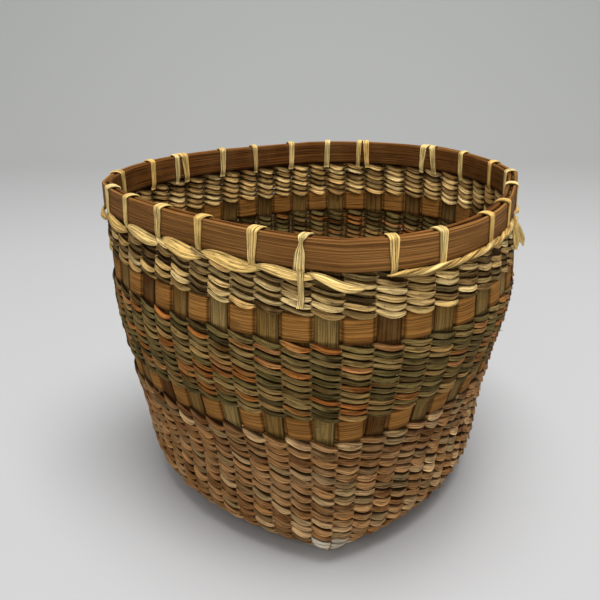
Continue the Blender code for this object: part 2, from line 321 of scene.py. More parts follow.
def new_object(name: str, data: bpy.types.ID) -> Object:
    """An object with this data, linked to the scene."""
    holder = bpy.data.objects.new(name, data)
    bpy.context.scene.collection.objects.link(holder)
    return holder


def new_mesh_object(name: str, corners: Array, faces: Whole, sizes: Whole) -> Object:
    """An object whose mesh has these corners and faces, smooth shaded.

    Args:
        name: Name of the object and its mesh.
        corners: Points, one to a row.
        faces: Corner numbers of all the faces in one line.
        sizes: How many corners each face has.

    Returns:
        The new object.
    """
    mesh = bpy.data.meshes.new(name)
    mesh.vertices.add(len(corners))
    mesh.vertices.foreach_set("co", np.ascontiguousarray(corners, np.float32).ravel())
    mesh.loops.add(len(faces))
    mesh.loops.foreach_set("vertex_index", faces.astype(np.int32))
    mesh.polygons.add(len(sizes))
    starts = np.concatenate(([0], np.cumsum(sizes)[:-1]))
    mesh.polygons.foreach_set("loop_start", starts.astype(np.int32))
    mesh.polygons.foreach_set("use_smooth", np.ones(len(sizes), bool))
    mesh.update(calc_edges=True)
    return new_object(name, mesh)


def swept_mesh(
    name: str,
    rings: Array,
    lay: Array,
    around: Array,
    values: Mapping[str, Numbers],
    closed: bool = False,
) -> Object:
    """Strands, each a tube through its rings of points.

    Face (k, i, j) joins corners j and j + 1 of rings i and i + 1 of strand k. An open
    strand gets a face over each end. The whole is turned outward by the sign of its
    volume.

    Args:
        name: Name of the piece.
        rings: Points as strands by rings by corners by 3, or without strands for one.
        lay: Length along the strand at each ring, and one more at the end of a closed one.
        around: Length round the section at each corner, and one more back at the first.
        values: Named values that spread over strands by rings by corners.
        closed: Whether the last ring joins the first.

    Returns:
        The new object, with its lay in centimetres as a UV map.
    """
    rings = rings.reshape(-1, *rings.shape[-3:])
    strands, count, corners, _ = rings.shape
    first = np.arange(strands)[:, None, None] * count * corners
    ring = np.arange(count if closed else count - 1)[None, :, None]
    corner = np.arange(corners)[None, None, :]

    def each_face(*parts: Whole) -> Whole:
        """One number for each of a face's four corners."""
        return np.stack([np.broadcast_to(part, (strands, ring.size, corners)) for part in parts], axis=-1)

    here = first + ring * corners
    ahead = first + (ring + 1) % count * corners
    corner_on = (corner + 1) % corners
    quads = each_face(here + corner, ahead + corner, ahead + corner_on, here + corner_on).reshape(-1, 4)
    along = each_face(ring, ring + 1, ring + 1, ring)
    across = each_face(corner, corner, corner + 1, corner + 1)
    strand_start = np.arange(strands)[:, None, None, None] * LAY_APART
    uv = np.stack((lay[along] + strand_start, around[across]), axis=-1).reshape(-1, 4, 2)
    caps = np.empty((0, corners), int)
    if not closed:
        start = (first[:, 0] + corner[0]).reshape(-1, corners)
        caps = np.concatenate((start[:, ::-1], start + (count - 1) * corners))
    points = rings.reshape(-1, 3)
    one, two, three, four = (points[quads[:, number]] for number in range(4))
    if np.einsum("ij,ij->", one, np.cross(two, three) + np.cross(three, four)) < 0.0:
        quads, uv, caps = quads[:, ::-1], uv[:, ::-1], caps[:, ::-1]
    faces = np.concatenate((quads.ravel(), caps.ravel()))
    sizes = np.concatenate((np.full(len(quads), 4), np.full(len(caps), corners)))
    piece = new_mesh_object(name, points, faces, sizes)
    layer = piece.data.uv_layers.new(name=UV_LAYER)
    all_uv = np.concatenate((uv.reshape(-1, 2), np.zeros((caps.size, 2))))
    layer.data.foreach_set("uv", (all_uv * UV_PER_METRE).astype(np.float32).ravel())
    for label, value in values.items():
        spread = np.broadcast_to(value, (strands, count, corners))
        attribute = piece.data.attributes.new(label, "FLOAT", "POINT")
        attribute.data.foreach_set("value", spread.astype(np.float32).ravel())
    return piece


def strip_rings(
    centre: Array,
    across: Array,
    out: Array,
    width: Numbers,
    depth: Numbers,
    section: Array,
) -> Array:
    """Rings of a strip: centre + across times half width times x + out times half depth times y.

    Args:
        centre: Points of the strip's middle.
        across: Unit directions over its width.
        out: Unit directions through its thickness.
        width: Half its width, at each point or everywhere.
        depth: Half its thickness, likewise.
        section: Corners x, y of the section, from -1 to 1.

    Returns:
        One ring of points for each point, on the last two axes.
    """
    over = across[..., None, :] * (np.asarray(width)[..., None] * section[:, 0])[..., None]
    through = out[..., None, :] * (np.asarray(depth)[..., None] * section[:, 1])[..., None]
    return centre[..., None, :] + over + through


def length_around(section: Array, half_width: float, half_depth: float) -> Array:
    """Length round a section of this size at each corner, from the first back to it."""
    corners = section * (half_width, half_depth)
    return length_along(np.vstack((corners, corners[:1])))


def length_along(points: Array) -> Array:
    """Length along a line of points at each of them."""
    return np.concatenate(([0.0], np.cumsum(np.linalg.norm(np.diff(points, axis=0), axis=1))))


def painted_edge_shade(section: Array, most: float) -> Array:
    """Painted shade on each corner, growing evenly over the outer part of the width."""
    return most * np.clip((np.abs(section[:, 0]) - EDGE_START) / (1.0 - EDGE_START), 0.0, 1.0)


def lens_section(corners: int, sharpness: float) -> Array:
    """A lens: x = cos a and y = sin a, y being drawn in towards the edges."""
    angle = TURN * np.arange(corners) / corners
    x, y = np.cos(angle), np.sin(angle)
    return np.column_stack((x, y * np.abs(y) ** sharpness))


def bar_section(columns: int, edge: float) -> Array:
    """A bar with rounded edges: flat faces in columns, joined by half rounds this deep."""
    x = np.linspace(-1.0 + edge, 1.0 - edge, columns)
    round_off = np.linspace(0.0, math.pi, HALF_ROUND_POINTS)[1:-1]
    end = np.column_stack((1.0 - edge + edge * np.sin(round_off), np.cos(round_off)))
    face = np.column_stack((x, np.ones(columns)))
    return np.concatenate((face, end, -face, -end))


def crowned_section(columns: int, crown: float) -> Array:
    """A thin strip bent over its width: both faces rise by crown times (1 - x squared)."""
    x = np.linspace(-1.0, 1.0, columns)
    lift = crown * (1.0 - x * x)
    return np.concatenate((np.column_stack((x, 1.0 + lift)), np.column_stack((x[::-1], -1.0 + lift))))


class NodeSheet:
    """Adds nodes to one node tree and joins them."""

    def __init__(self, tree: NodeTree) -> None:
        """Keeps the tree that the nodes go into."""
        self.tree = tree

    def feed(self, target: NodeSocket, source: Source) -> None:
        """Joins a socket to an input, or sets the input to a plain value."""
        if isinstance(source, NodeSocket):
            self.tree.links.new(source, target)
        else:
            target.default_value = source

    def add(self, kind: str, inputs: Mapping[str | int, Source] | None = None, **settings: object) -> Node:
        """One node with its settings made and its inputs fed.

        Args:
            kind: Blender's name of the node type, without ShaderNode.
            inputs: What goes into each named input.
            **settings: Properties of the node itself.

        Returns:
            The new node.
        """
        node = self.tree.nodes.new(f"ShaderNode{kind}")
        for name, setting in settings.items():
            setattr(node, name, setting)
        for key, source in (inputs or {}).items():
            self.feed(node.inputs[key], source)
        return node

    def maths(self, operation: str, first: Source, second: Source, held: bool = True) -> NodeSocket:
        """The result of a maths node, held between 0 and 1 or left free."""
        inputs = {0: first, 1: second}
        return self.add("Math", inputs, operation=operation, use_clamp=held).outputs[0]

    def blend(self, kind: str, share: Source, first: Source, second: Source) -> NodeSocket:
        """The colour of a mix node of this kind."""
        inputs = {0: share, 6: first, 7: second}
        return self.add("Mix", inputs, data_type="RGBA", blend_type=kind).outputs[2]

    def noise(self, place: Source, **inputs: Source) -> NodeSocket:
        """The value of a noise at this place, with its scale, detail and other inputs."""
        named = {name.title(): value for name, value in inputs.items()}
        return self.add("TexNoise", {"Vector": place} | named).outputs[0]

    def ramp(self, value: Source, stops: Sequence[tuple[float, Colour]]) -> NodeSocket:
        """The colour of a ramp with these stops."""
        node = self.add("ValToRGB", {0: value})
        elements = node.color_ramp.elements
        while len(elements) < len(stops):
            elements.new(1.0)
        for element, (place, colour) in zip(elements, stops):
            element.position = place
            element.color = colour
        return node.outputs[0]

    def stretch(self, value: Source, low: Source, high: Source) -> NodeSocket:
        """The value moved from low..high to 0..1 and held there."""
        return self.add("MapRange", {0: value, 1: low, 2: high, 3: 0.0, 4: 1.0}).outputs[0]


class SocketKind(Enum):
    """The kinds of socket that the shared groups have."""

    VALUE = "NodeSocketFloat"
    COLOUR = "NodeSocketColor"
    VECTOR = "NodeSocketVector"


def new_material(name: str) -> tuple[Material, NodeSheet, Node]:
    """A material with the sheet of its nodes and its surface shader."""
    material = bpy.data.materials.new(name)
    material.use_nodes = True
    return material, NodeSheet(material.node_tree), material.node_tree.nodes["Principled BSDF"]


def new_group(
    name: str, inputs: Mapping[SocketKind, Sequence[str]], outputs: Mapping[SocketKind, Sequence[str]]
) -> tuple[NodeSheet, bpy.types.bpy_prop_collection, bpy.types.bpy_prop_collection]:
    """An empty shared group.

    Args:
        name: Name of the group.
        inputs: Labels of its inputs, by kind.
        outputs: Labels of its outputs, by kind.

    Returns:
        Its sheet, the sockets that bring its inputs and those that take its outputs.
    """
    tree = bpy.data.node_groups.new(name, "ShaderNodeTree")
    for way, labels in (("INPUT", inputs), ("OUTPUT", outputs)):
        for kind, names in labels.items():
            for label in names:
                tree.interface.new_socket(name=label, in_out=way, socket_type=kind.value)
    given = tree.nodes.new("NodeGroupInput").outputs
    return NodeSheet(tree), given, tree.nodes.new("NodeGroupOutput").inputs


class SharedEffects:
    """The shader groups that several finishes use."""

    def __init__(self) -> None:
        """Builds each group once."""
        self.grain = self.build_grain()
        self.wear = self.build_wear()

    @staticmethod
    def build_grain() -> NodeTree:
        """Long fibres: two noises on the lay, drawn out along it, fine over coarse."""
        sheet, given, result = new_group(
            "long fibres",
            {
                SocketKind.VECTOR: ("Lay",),
                SocketKind.VALUE: ("Along", "Across", "Detail", "Low", "High"),
            },
            {SocketKind.VALUE: ("Streak", "Coarse")},
        )
        parts = sheet.add("SeparateXYZ", {0: given["Lay"]}).outputs
        along = sheet.maths("MULTIPLY", parts[0], given["Along"], False)
        across = sheet.maths("MULTIPLY", parts[1], given["Across"], False)
        drawn = sheet.add("CombineXYZ", {0: along, 1: across, 2: parts[2]}).outputs[0]
        fine = sheet.noise(drawn, scale=1.0, detail=given["Detail"], roughness=0.65)
        coarse = sheet.noise(drawn, scale=0.28, detail=2.0, distortion=0.4)
        sheet.feed(result["Streak"], sheet.stretch(fine, given["Low"], given["High"]))
        sheet.feed(result["Coarse"], sheet.stretch(coarse, low=0.35, high=0.65))
        return sheet.tree

    @staticmethod
    def build_wear() -> NodeTree:
        """Dry patches and dark flecks over a colour, from noise on the object."""
        sheet, given, result = new_group(
            "dry wear",
            {
                SocketKind.COLOUR: ("Colour", "Patch Colour", "Fleck Colour"),
                SocketKind.VALUE: ("Patches", "Flecks"),
            },
            {SocketKind.COLOUR: ("Colour",), SocketKind.VALUE: ("Fleck",)},
        )
        place = sheet.add("TexCoord").outputs["Object"]
        cloud = sheet.stretch(sheet.noise(place, scale=90.0, detail=3.0), low=0.45, high=0.7)
        patch = sheet.maths("MULTIPLY", cloud, given["Patches"])
        patched = sheet.blend("MIX", patch, given["Colour"], given["Patch Colour"])
        dots = sheet.noise(place, scale=620.0, detail=2.0, roughness=0.7)
        dots = sheet.stretch(dots, low=0.62, high=0.7)
        fleck = sheet.maths("MULTIPLY", dots, given["Flecks"])
        sheet.feed(result["Colour"], sheet.blend("MIX", fleck, patched, given["Fleck Colour"]))
        sheet.feed(result["Fleck"], fleck)
        return sheet.tree


class Wear(Enum):
    """How much a finish is worn, as its shares of dry patches and dark flecks."""

    FRESH = (0.25, 0.2)
    DRY = (0.5, 0.45)
    ROUGH = (0.6, 0.35)


@dataclass(frozen=True)
class PlantFinish:
    """A dry plant strip or strand: tones to pick from, long grain, dry wear.

    The piece's values pick the tone, its shade (its own darker or paler tone, with
    painted highlights and painted shade on some pieces) and the painted shade where it
    is tucked in. The three tints multiply the tone in a streak, in a pale stretch and in
    the painted shade.
    """

    name: str
    tones: tuple[tuple[float, Colour], ...]
    patch: Colour
    fleck: Colour
    wear: Wear = Wear.DRY
    streak_dark: float = 0.85
    streak_span: Span = (0.40, 0.50)
    pale_share: float = 0.5
    along: float = 0.9
    across: float = 15.0
    detail: float = 5.0
    roughness: float = 0.8
    shine: float = 0.05
    bump: float = 0.9
    bump_depth: float = 0.00040
    streak_tint: Colour = (0.20, 0.15, 0.09, 1.0)
    pale_tint: Colour = (1.45, 1.45, 1.4, 1.0)
    painted_shade_tint: Colour = (0.16, 0.11, 0.06, 1.0)

    def material(self, effects: SharedEffects) -> Material:
        """The finish as a material.

        The tone is darkened by the streaks, then by the wear, by the piece's shade (its
        own tone, with painted highlights and painted shade on some pieces) and by painted
        shade where the strand is tucked in; the streaks also raise the surface.

        Args:
            effects: The shared groups.

        Returns:
            The material.
        """
        material, sheet, shader = new_material(self.name)
        # tuck is painted shade in crevices and under overhangs; shade is the piece's own tone, with painted
        # highlights and shade on some pieces
        tone, shade, tuck = (
            sheet.add("Attribute", attribute_name=name).outputs for name in ("tone", "shade", "tuck")
        )
        grain_inputs = {
            "Lay": sheet.add("UVMap", uv_map=UV_LAYER).outputs[0],
            "Along": self.along,
            "Across": self.across,
            "Detail": self.detail,
            "Low": self.streak_span[0],
            "High": self.streak_span[1],
        }
        grain = sheet.add("Group", grain_inputs, node_tree=effects.grain).outputs
        base = sheet.ramp(tone["Fac"], self.tones)
        dark = sheet.blend("MULTIPLY", 1.0, base, self.streak_tint)
        less = sheet.maths("SUBTRACT", 1.0, grain["Streak"])
        streaked = sheet.blend("MIX", sheet.maths("MULTIPLY", less, self.streak_dark), base, dark)
        pale = sheet.blend("MULTIPLY", 1.0, base, self.pale_tint)
        broad = sheet.maths("MULTIPLY", grain["Coarse"], self.pale_share)
        wear_inputs = {
            "Colour": sheet.blend("MIX", broad, streaked, pale),
            "Patch Colour": self.patch,
            "Fleck Colour": self.fleck,
            "Patches": self.wear.value[0],
            "Flecks": self.wear.value[1],
        }
        worn = sheet.add("Group", wear_inputs, node_tree=effects.wear).outputs
        shaded = sheet.blend("MULTIPLY", 1.0, worn["Colour"], shade["Color"])
        # painted shade: the colour mixed towards the painted shade tint as far as the tuck goes
        deep = sheet.blend("MULTIPLY", 1.0, shaded, self.painted_shade_tint)
        sheet.feed(shader.inputs["Base Color"], sheet.blend("MIX", tuck["Fac"], shaded, deep))
        raised = {"Height": grain["Streak"], "Strength": self.bump, "Distance": self.bump_depth}
        sheet.feed(shader.inputs["Normal"], sheet.add("Bump", raised).outputs[0])
        shader.inputs["Roughness"].default_value = self.roughness
        shader.inputs["Metallic"].default_value = 0.0
        shader.inputs["Specular IOR Level"].default_value = self.shine
        return material


CREAM_TWINING = PlantFinish(
    name="cream twining fibre",
    tones=tone_stops(
        (0.0, 92, 66, 34), (0.20, 158, 124, 74), (0.38, 196, 158, 96),
        (0.62, 228, 190, 122), (0.80, 252, 222, 156), (1.0, 204, 150, 80),
    ),
    patch=seen(210, 176, 114),
    fleck=seen(60, 44, 24),
    wear=Wear.ROUGH,
)
GREEN_TWINING = PlantFinish(
    name="olive twining fibre",
    tones=tone_stops(
        (0.0, 92, 60, 24), (0.12, 88, 74, 42), (0.34, 108, 92, 50), (0.50, 126, 106, 62),
        (0.64, 170, 136, 82), (0.74, 156, 94, 40), (0.90, 184, 116, 58), (1.0, 206, 152, 98),
    ),
    patch=seen(150, 130, 80),
    fleck=seen(56, 40, 20),
)
TAN_TWINING = PlantFinish(
    name="tan twining fibre",
    tones=tone_stops(
        (0.0, 128, 84, 46), (0.30, 166, 118, 70), (0.55, 186, 138, 88), (0.74, 156, 112, 68),
        (0.88, 150, 126, 86), (0.96, 222, 180, 128), (1.0, 198, 186, 166),
    ),
    patch=seen(198, 158, 110),
    fleck=seen(84, 58, 32),
)
STAKE_BARK = PlantFinish(
    name="stake bark strip",
    tones=tone_stops((0.0, 98, 60, 22), (0.25, 120, 90, 44), (0.60, 138, 110, 60), (1.0, 152, 126, 76)),
    patch=seen(138, 116, 70),
    fleck=seen(70, 48, 22),
    along=0.30,
    across=20.0,
    detail=3.0,
    streak_dark=0.7,
)
PLAIN_HOOP_BARK = PlantFinish(
    name="plain hoop bark strip",
    tones=tone_stops((0.0, 138, 92, 42), (1.0, 160, 112, 54)),
    patch=seen(170, 124, 68),
    fleck=seen(98, 60, 26),
    wear=Wear.FRESH,
    along=0.30,
    across=19.0,
    detail=2.5,
    streak_dark=0.65,
)
RIM_WOOD = PlantFinish(
    name="rim hoop split wood",
    tones=tone_stops((0.0, 106, 65, 27), (0.5, 140, 94, 46), (1.0, 166, 120, 68)),
    patch=seen(150, 108, 60),
    fleck=seen(78, 46, 22),
    wear=Wear.FRESH,
    along=0.14,
    across=19.0,
    detail=1.8,
    streak_dark=0.80,
    streak_span=(0.43, 0.57),
    pale_share=0.3,
    roughness=0.6,
)
LASHING_STRAND = PlantFinish(
    name="pale lashing strand",
    tones=tone_stops((0.0, 230, 184, 100), (0.5, 250, 210, 130), (1.0, 255, 228, 158)),
    patch=seen(240, 198, 118),
    fleck=seen(110, 84, 46),
    wear=Wear.FRESH,
    along=0.8,
    across=22.0,
    streak_dark=0.7,
    roughness=0.5,
)


@dataclass
class Piece:
    """What every part of the basket needs: the wall it sits on and the shared effects."""

    wall: WallShape
    effects: SharedEffects

    def dress(self, piece: Object, material: Material, slot: str, node: str) -> None:
        """Gives a piece its finish, hides the solid it stands for, hangs it on the body and reports it."""
        piece.data.materials.append(material)
        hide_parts(node)
        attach(piece, BODY)
        log.info("%s: %d faces", piece.name, len(piece.data.polygons))


@dataclass(frozen=True)
class StrandLook:
    """How the two strands of a zone lie, and the tones that each one keeps to.

    The edge that the row above overhangs is thin and gets painted shade, and the lower
    edge stands out, blunt, with a painted highlight. The stitches inside the stakes are
    painted lighter or darker than those outside. A share is of the row's pitch unless it
    says otherwise. A span holds the least and the most, and each stitch has a value of
    its own in it.
    """

    cover: float = 0.52
    half_depth: float = 0.00042
    lean: float = math.radians(17.0)
    slant_share: float = 0.34
    smile_share: float = 0.22
    tip_share: float = 0.32
    shadow: float = 0.62
    # painted highlight on the lower edge, as a multiple of the tone
    edge_light: float = 1.5
    fold: float = 0.0
    run_stakes: float = 60.0
    outward_share: float = 0.36
    stray_share: float = 0.22
    rough_share: float = 0.0
    # painted light: how much lighter or darker the stitches inside the stakes are painted
    inner_painted_light: float = 1.0
    wander: float = 0.14 * MM
    tone_spread: float = 0.07
    tone_ranges: tuple[Span, Span] = ((0.0, 1.0), (0.0, 1.0))
    # painted shade on each stitch's overhung edge
    gap_painted_shade: Span = (0.85, 1.0)
    fullness: Span = (0.84, 1.12)
    rough_fullness: Span = (0.42, 0.80)
    middle: Span = (0.95, 1.05)
    taper: Span = (0.0, 0.3)
    thickness: Span = (0.75, 1.2)
    low_point: Span = (-0.22, 0.06)
    angular: Span = (0.2, 0.9)
    smile: Span = (0.4, 1.6)
    sag: Span = (-0.10, 0.10)
    stand: Span = (0.88, 1.18)
    rough_stand: Span = (0.62, 0.9)
    leaning: Span = (0.6, 1.25)
    tilt: Span = (-0.14, 0.14)
    shade: Span = (0.66, 1.14)
    rough_shade: Span = (0.20, 0.6)
    # how strongly each stitch takes the painted highlight and shade of light()
    pale: Span = (0.1, 1.3)

    def section(self) -> Array:
        """Corners x, y of the strand's section, the overhung edge at x = 1.

        The fold draws in one corner of each face, for a strand bent along its length.
        """
        return np.array((
            (-1.0, -0.20),
            (-0.90, 0.80),
            (-0.66, 1.0),
            (-0.05, 1.05 - self.fold),
            (self.shadow - 0.18, 0.98),
            (self.shadow, 0.62),
            (1.0, -0.10),
            (0.70, -0.80),
            (0.10, -1.0 + self.fold),
            (-0.45, -1.05),
            (-0.90, -0.90),
        ))

    def edges(self) -> Array:
        """How much painted shade each corner gets, from 0 to 1: most on the overhung edge."""
        return np.array((0.0, 0.0, 0.0, 0.0, 0.06, 1.0, 1.0, 1.0, 0.05, 0.0, 0.0))

    def light(self) -> Array:
        """Painted light on each corner beside the strand's own tone: a painted highlight on the lower edge,
        painted shade under the overhang.
        """
        edge = self.edge_light
        return np.array((edge, edge, 1.0, 1.0, 0.9, 0.6, 0.5, 0.6, 1.0, 1.0, edge))


LOWER_STRANDS = StrandLook(
    cover=0.56,
    fold=0.35,
    half_depth=0.00048,
    lean=math.radians(15.0),
    smile_share=0.13,
    slant_share=0.30,
    run_stakes=14.0,
    angular=(0.6, 1.0),
    wander=0.28 * MM,
    shadow=0.50,
    gap_painted_shade=(0.55, 1.0),
    edge_light=1.8,
    fullness=(0.70, 1.16),
)
MIDDLE_STRANDS = StrandLook(
    smile_share=0.15,
    run_stakes=16.0,
    stray_share=0.3,
    edge_light=1.8,
    inner_painted_light=0.85,
    tone_ranges=((0.24, 0.96), (0.05, 0.68)),
)
UPPER_STRANDS = StrandLook(
    cover=0.57,
    outward_share=0.24,
    smile_share=0.18,
    fold=0.12,
    run_stakes=9.0,
    stray_share=0.5,
    rough_share=0.36,
    inner_painted_light=1.35,
    wander=0.28 * MM,
)


@dataclass
class TwinedZone(Piece):
    """Rows of two strands that twist round each other between the stakes.

    At turn t the strand s lies outside the stakes where the cosine of pi (t + s), with
    a little added, is above 0. Its middle stands out by reach times a power of that
    wave, and falls across each stake by the slant times the sine.
    """

    label: str
    slot: str
    finish: PlantFinish
    look: StrandLook
    low: float
    high: float
    rows: int
    seed: int
    reach: float = 0.00125
    flatness: float = 0.42
    width_power: float = 0.7
    end_depth: float = 0.40
    settled_share: float = 0.06
    settled_rows: float = 4.0
    worn_turn: float = 45.5
    worn_reach: float = 2.4
    worn_pale: float = 0.5
    worn_fall: float = 0.42
    unworn_tone: float = 0.95
    # the shape of the lit lens that the painted shade leaves on each stitch
    lens_reach: float = 1.25
    lens_power: float = 3.5
    lens_soft: float = 0.35
    # painted shade near the crossing
    crossing_painted_shade: float = 0.6
    crossing_share: float = 0.2
    samples: int = 9
    rows_each: int = 8

    @property
    def lowest(self) -> bool:
        """Whether it is the zone that the basket stands on."""
        return self.label == "lower"

    @property
    def pitch(self) -> float:
        """Length up the wall that each row takes."""
        return (self.high - self.low) / self.rows

    def build(self) -> None:
        """The zone's rows, in pieces of a few rows."""
        material = self.finish.material(self.effects)
        rings, values = self.strands()
        turn = self.turns()
        lay = np.append(turn, turn[0] + self.wall.stake_count) * self.wall.rim_pitch
        around = length_around(self.look.section(), self.look.cover * self.pitch, self.look.half_depth)
        for number, start in enumerate(range(0, self.rows, self.rows_each)):
            chosen = slice(2 * start, 2 * min(start + self.rows_each, self.rows))
            part = {name: value[chosen] for name, value in values.items()}
            name = f"{self.label}_rows_{number + 1}"
            piece = swept_mesh(name, rings[chosen], lay, around, part, True)
            self.dress(piece, material, self.slot, f"{self.label}_twined_zone")

    def places(self) -> Array:
        """Places across one stake, from -1/2 to 1/2, closer together near both ends."""
        even = (np.arange(self.samples) + 0.5) / self.samples * 2.0 - 1.0
        return 0.5 * mix(even, np.sin(QUARTER_TURN * even), 0.5)

    def turns(self) -> Array:
        """Every ring's place round the wall, in stakes."""
        return (np.arange(self.wall.stake_count)[:, None] + self.places()).reshape(-1)

    def flat(self, part: Numbers) -> Array:
        """A value of each stitch or place, spread over strands by rings."""
        spread = (self.rows, 2, self.wall.stake_count, self.samples)
        return np.broadcast_to(part, spread).reshape(self.rows * 2, -1)

    def worn_corner(self) -> NDArray[np.bool_]:
        """Which stitches are rubbed pale: the first rows at the corner towards the viewer."""
        reach = self.worn_reach if self.lowest else 0.0
        aside = np.abs(np.arange(self.wall.stake_count) - self.worn_turn)
        near = aside < reach - self.worn_fall * np.arange(self.rows)[:, None]
        return near[:, None, :]

    def tones(self, rng: Random) -> Array:
        """The tone of each stitch, as rows by strands by stakes.

        A strand is one long line through all rows. Along it the tone stays the same
        until a new strip is spliced in, and a few stitches stray from it.

        Args:
            rng: Source of the tones.

        Returns:
            Values from 0 to 1.
        """
        stakes = self.wall.stake_count
        length = self.rows * stakes
        tones = np.empty((self.rows, 2, stakes))
        for strand, (low, high) in enumerate(self.look.tone_ranges):
            spliced = np.cumsum(rng.random(length) < 1.0 / self.look.run_stakes)
            strips = rng.uniform(low, high, int(spliced[-1]) + 1)
            tones[:, strand] = strips[spliced].reshape(self.rows, stakes)
        tones = tones + rng.normal(0.0, self.look.tone_spread, tones.shape)
        stray = rng.random(tones.shape) < self.look.stray_share
        return np.clip(np.where(stray, rng.random(tones.shape), tones), 0.0, 1.0)

    def climbs(self, rng: Random, settled: Array) -> Array:
        """How far up the wall every strand lies at each ring, as strands by rings."""
        angle = self.turns() * self.wall.stake_angle
        shared = ring_wave(rng, angle, lobes=(2, 3, 5, 9), size=self.look.wander)
        own = ring_wave(rng, angle, lobes=(5, 8, 13, 21), size=0.5 * self.look.wander, rows=self.rows)
        level = self.low + (np.arange(self.rows) + 0.5) * self.pitch
        return np.repeat(level[:, None] + (shared + own) * settled[:, None], 2, axis=0)

    def strands(self) -> tuple[Array, dict[str, Array]]:
        """The rings of all strands and their values.

        Returns:
            Rings as strands by rings by corners by 3, tone of each ring, and shade (own
            tone with painted highlights and painted light inside) and tuck (painted shade) of
            each corner.
        """
        rng = np.random.default_rng(self.seed)
        look, wall, place, pitch = self.look, self.wall, self.places(), self.pitch
        settled = np.ones(self.rows)
        if self.lowest:
            settled = np.clip(self.settled_share + np.arange(self.rows) / self.settled_rows, 0.0, 1.0)
        climb = self.climbs(rng, settled)
        settled = settled[:, None, None, None]
        number = np.arange(wall.stake_count)[None, :] + np.arange(2)[:, None]
        facing = np.where(number % 2 == 0, 1.0, -1.0)[None, :, :, None]
        cosine, sine = np.cos(math.pi * place), np.sin(math.pi * place)
        wave = facing * cosine + look.outward_share
        side = np.sign(wave)
        bulge = np.abs(wave / (1.0 + side * look.outward_share)) ** self.flatness

        def stitch(span: Span) -> Array:
            """One random value for each stitch."""
            return rng.uniform(*span, (self.rows, 2, wall.stake_count, 1))

        tone = self.tones(rng)
        worn = self.worn_corner() & (facing[..., 0] > 0.0)
        tone = np.where(worn, 1.0, np.minimum(tone, self.unworn_tone))
        rough = (rng.random(tone.shape) < look.rough_share)[..., None] & (facing > 0.0)
        full = np.where(rough, stitch(look.rough_fullness), stitch(look.fullness))
        bottom = stitch(look.low_point)
        bent = np.clip(1.0 - np.abs(place - bottom) / (0.5 + np.abs(bottom)), 0.0, 1.0)
        bent = mix(cosine, bent, stitch(look.angular))
        smile = look.smile_share * pitch * stitch(look.smile)
        fall = -facing * look.slant_share * pitch * sine - smile * bent
        fall = (fall + stitch(look.sag) * pitch * cosine) * (0.5 + 0.5 * settled)
        away = np.where(rough, stitch(look.rough_stand), stitch(look.stand))
        stand = side * self.reach * bulge * away * settled
        middle = look.cover * full * stitch(look.middle)
        width = mix(look.tip_share, middle, cosine**self.width_power) * pitch
        width = width * (1.0 - stitch(look.taper) * place)
        depth = look.half_depth * mix(self.end_depth, 1.0, bulge) * stitch(look.thickness)
        tilt = bulge * (side * look.lean * stitch(look.leaning) + stitch(look.tilt)) * settled

        base, _, rise, outward = wall.axes(self.turns()[None, :], climb + self.flat(fall))
        centre = base + outward * self.flat(stand)[..., None]
        lean_cos, lean_sin = np.cos(self.flat(tilt))[..., None], np.sin(self.flat(tilt))[..., None]
        across = rise * lean_cos - outward * lean_sin
        out = outward * lean_cos + rise * lean_sin
        rings = strip_rings(centre, across, out, self.flat(width), self.flat(depth), look.section())

        shades = (rng.uniform(*span, tone.shape)[..., None] for span in (look.rough_shade, look.shade))
        # painted light: stitches inside the stakes are painted lighter or darker than those outside
        shade = np.where(rough, *shades) * np.where(side > 0.0, 1.0, look.inner_painted_light)
        # pale: how strongly each stitch takes the painted highlight and shade of look.light()
        pale = self.flat(stitch(look.pale))[..., None]
        shade = self.flat(shade + self.worn_pale * worn[..., None])[..., None]
        return rings, {
            "tone": self.flat(tone[..., None])[..., None],
            # painted highlight on the lower edge and painted shade under the overhang
            "shade": shade * (1.0 + (look.light() - 1.0) * pale),
            # tuck: painted shade round each stitch's lit lens and on its overhung edge
            "tuck": self.tucked(facing, side, stitch(look.gap_painted_shade)),
        }

    def tucked(self, facing: Array, side: Array, dark: Array) -> Array:
        """Painted shade on each corner, by how deep it lies under its neighbours.

        Outside, a stitch reaches from its stake's middle a little past the next
        crossing, and inside it ends as much before it. Painted shade leaves a pointed lit
        lens: a corner at x is painted dark where its |x| is more than the lens reach times
        (1 - end to the lens power), end being the share of the way to the stitch's end.
        Near the crossing and on the overhung edge it gets painted shade too.

        Args:
            facing: Which side of its stake each strand lies on, 1 being outside.
            side: The side it has at each of the places across the stake.
            dark: How much painted shade each stitch's overhung edge gets.

        Returns:
            Values as strands by rings by corners.
        """
        place = np.abs(self.places())
        past = math.asin(self.look.outward_share) / math.pi
        to_middle = np.where(side * facing > 0.0, place, 1.0 - place)
        end = to_middle / (0.5 + side * past)
        lens = self.lens_reach * (1.0 - end**self.lens_power)
        beyond = smooth_step((np.abs(self.look.section()[:, 0]) - lens[..., None]) / self.lens_soft)
        near_crossing = (end - 1.0 + self.crossing_share) / self.crossing_share
        # painted shade outside the lens and towards the crossing
        ends = np.maximum(beyond, self.crossing_painted_shade * smooth_step(near_crossing)[..., None])
        # painted shade on the overhung edge
        tucked = np.maximum(ends, self.look.edges() * dark[..., None])
        return tucked.reshape(self.rows * 2, -1, tucked.shape[-1])


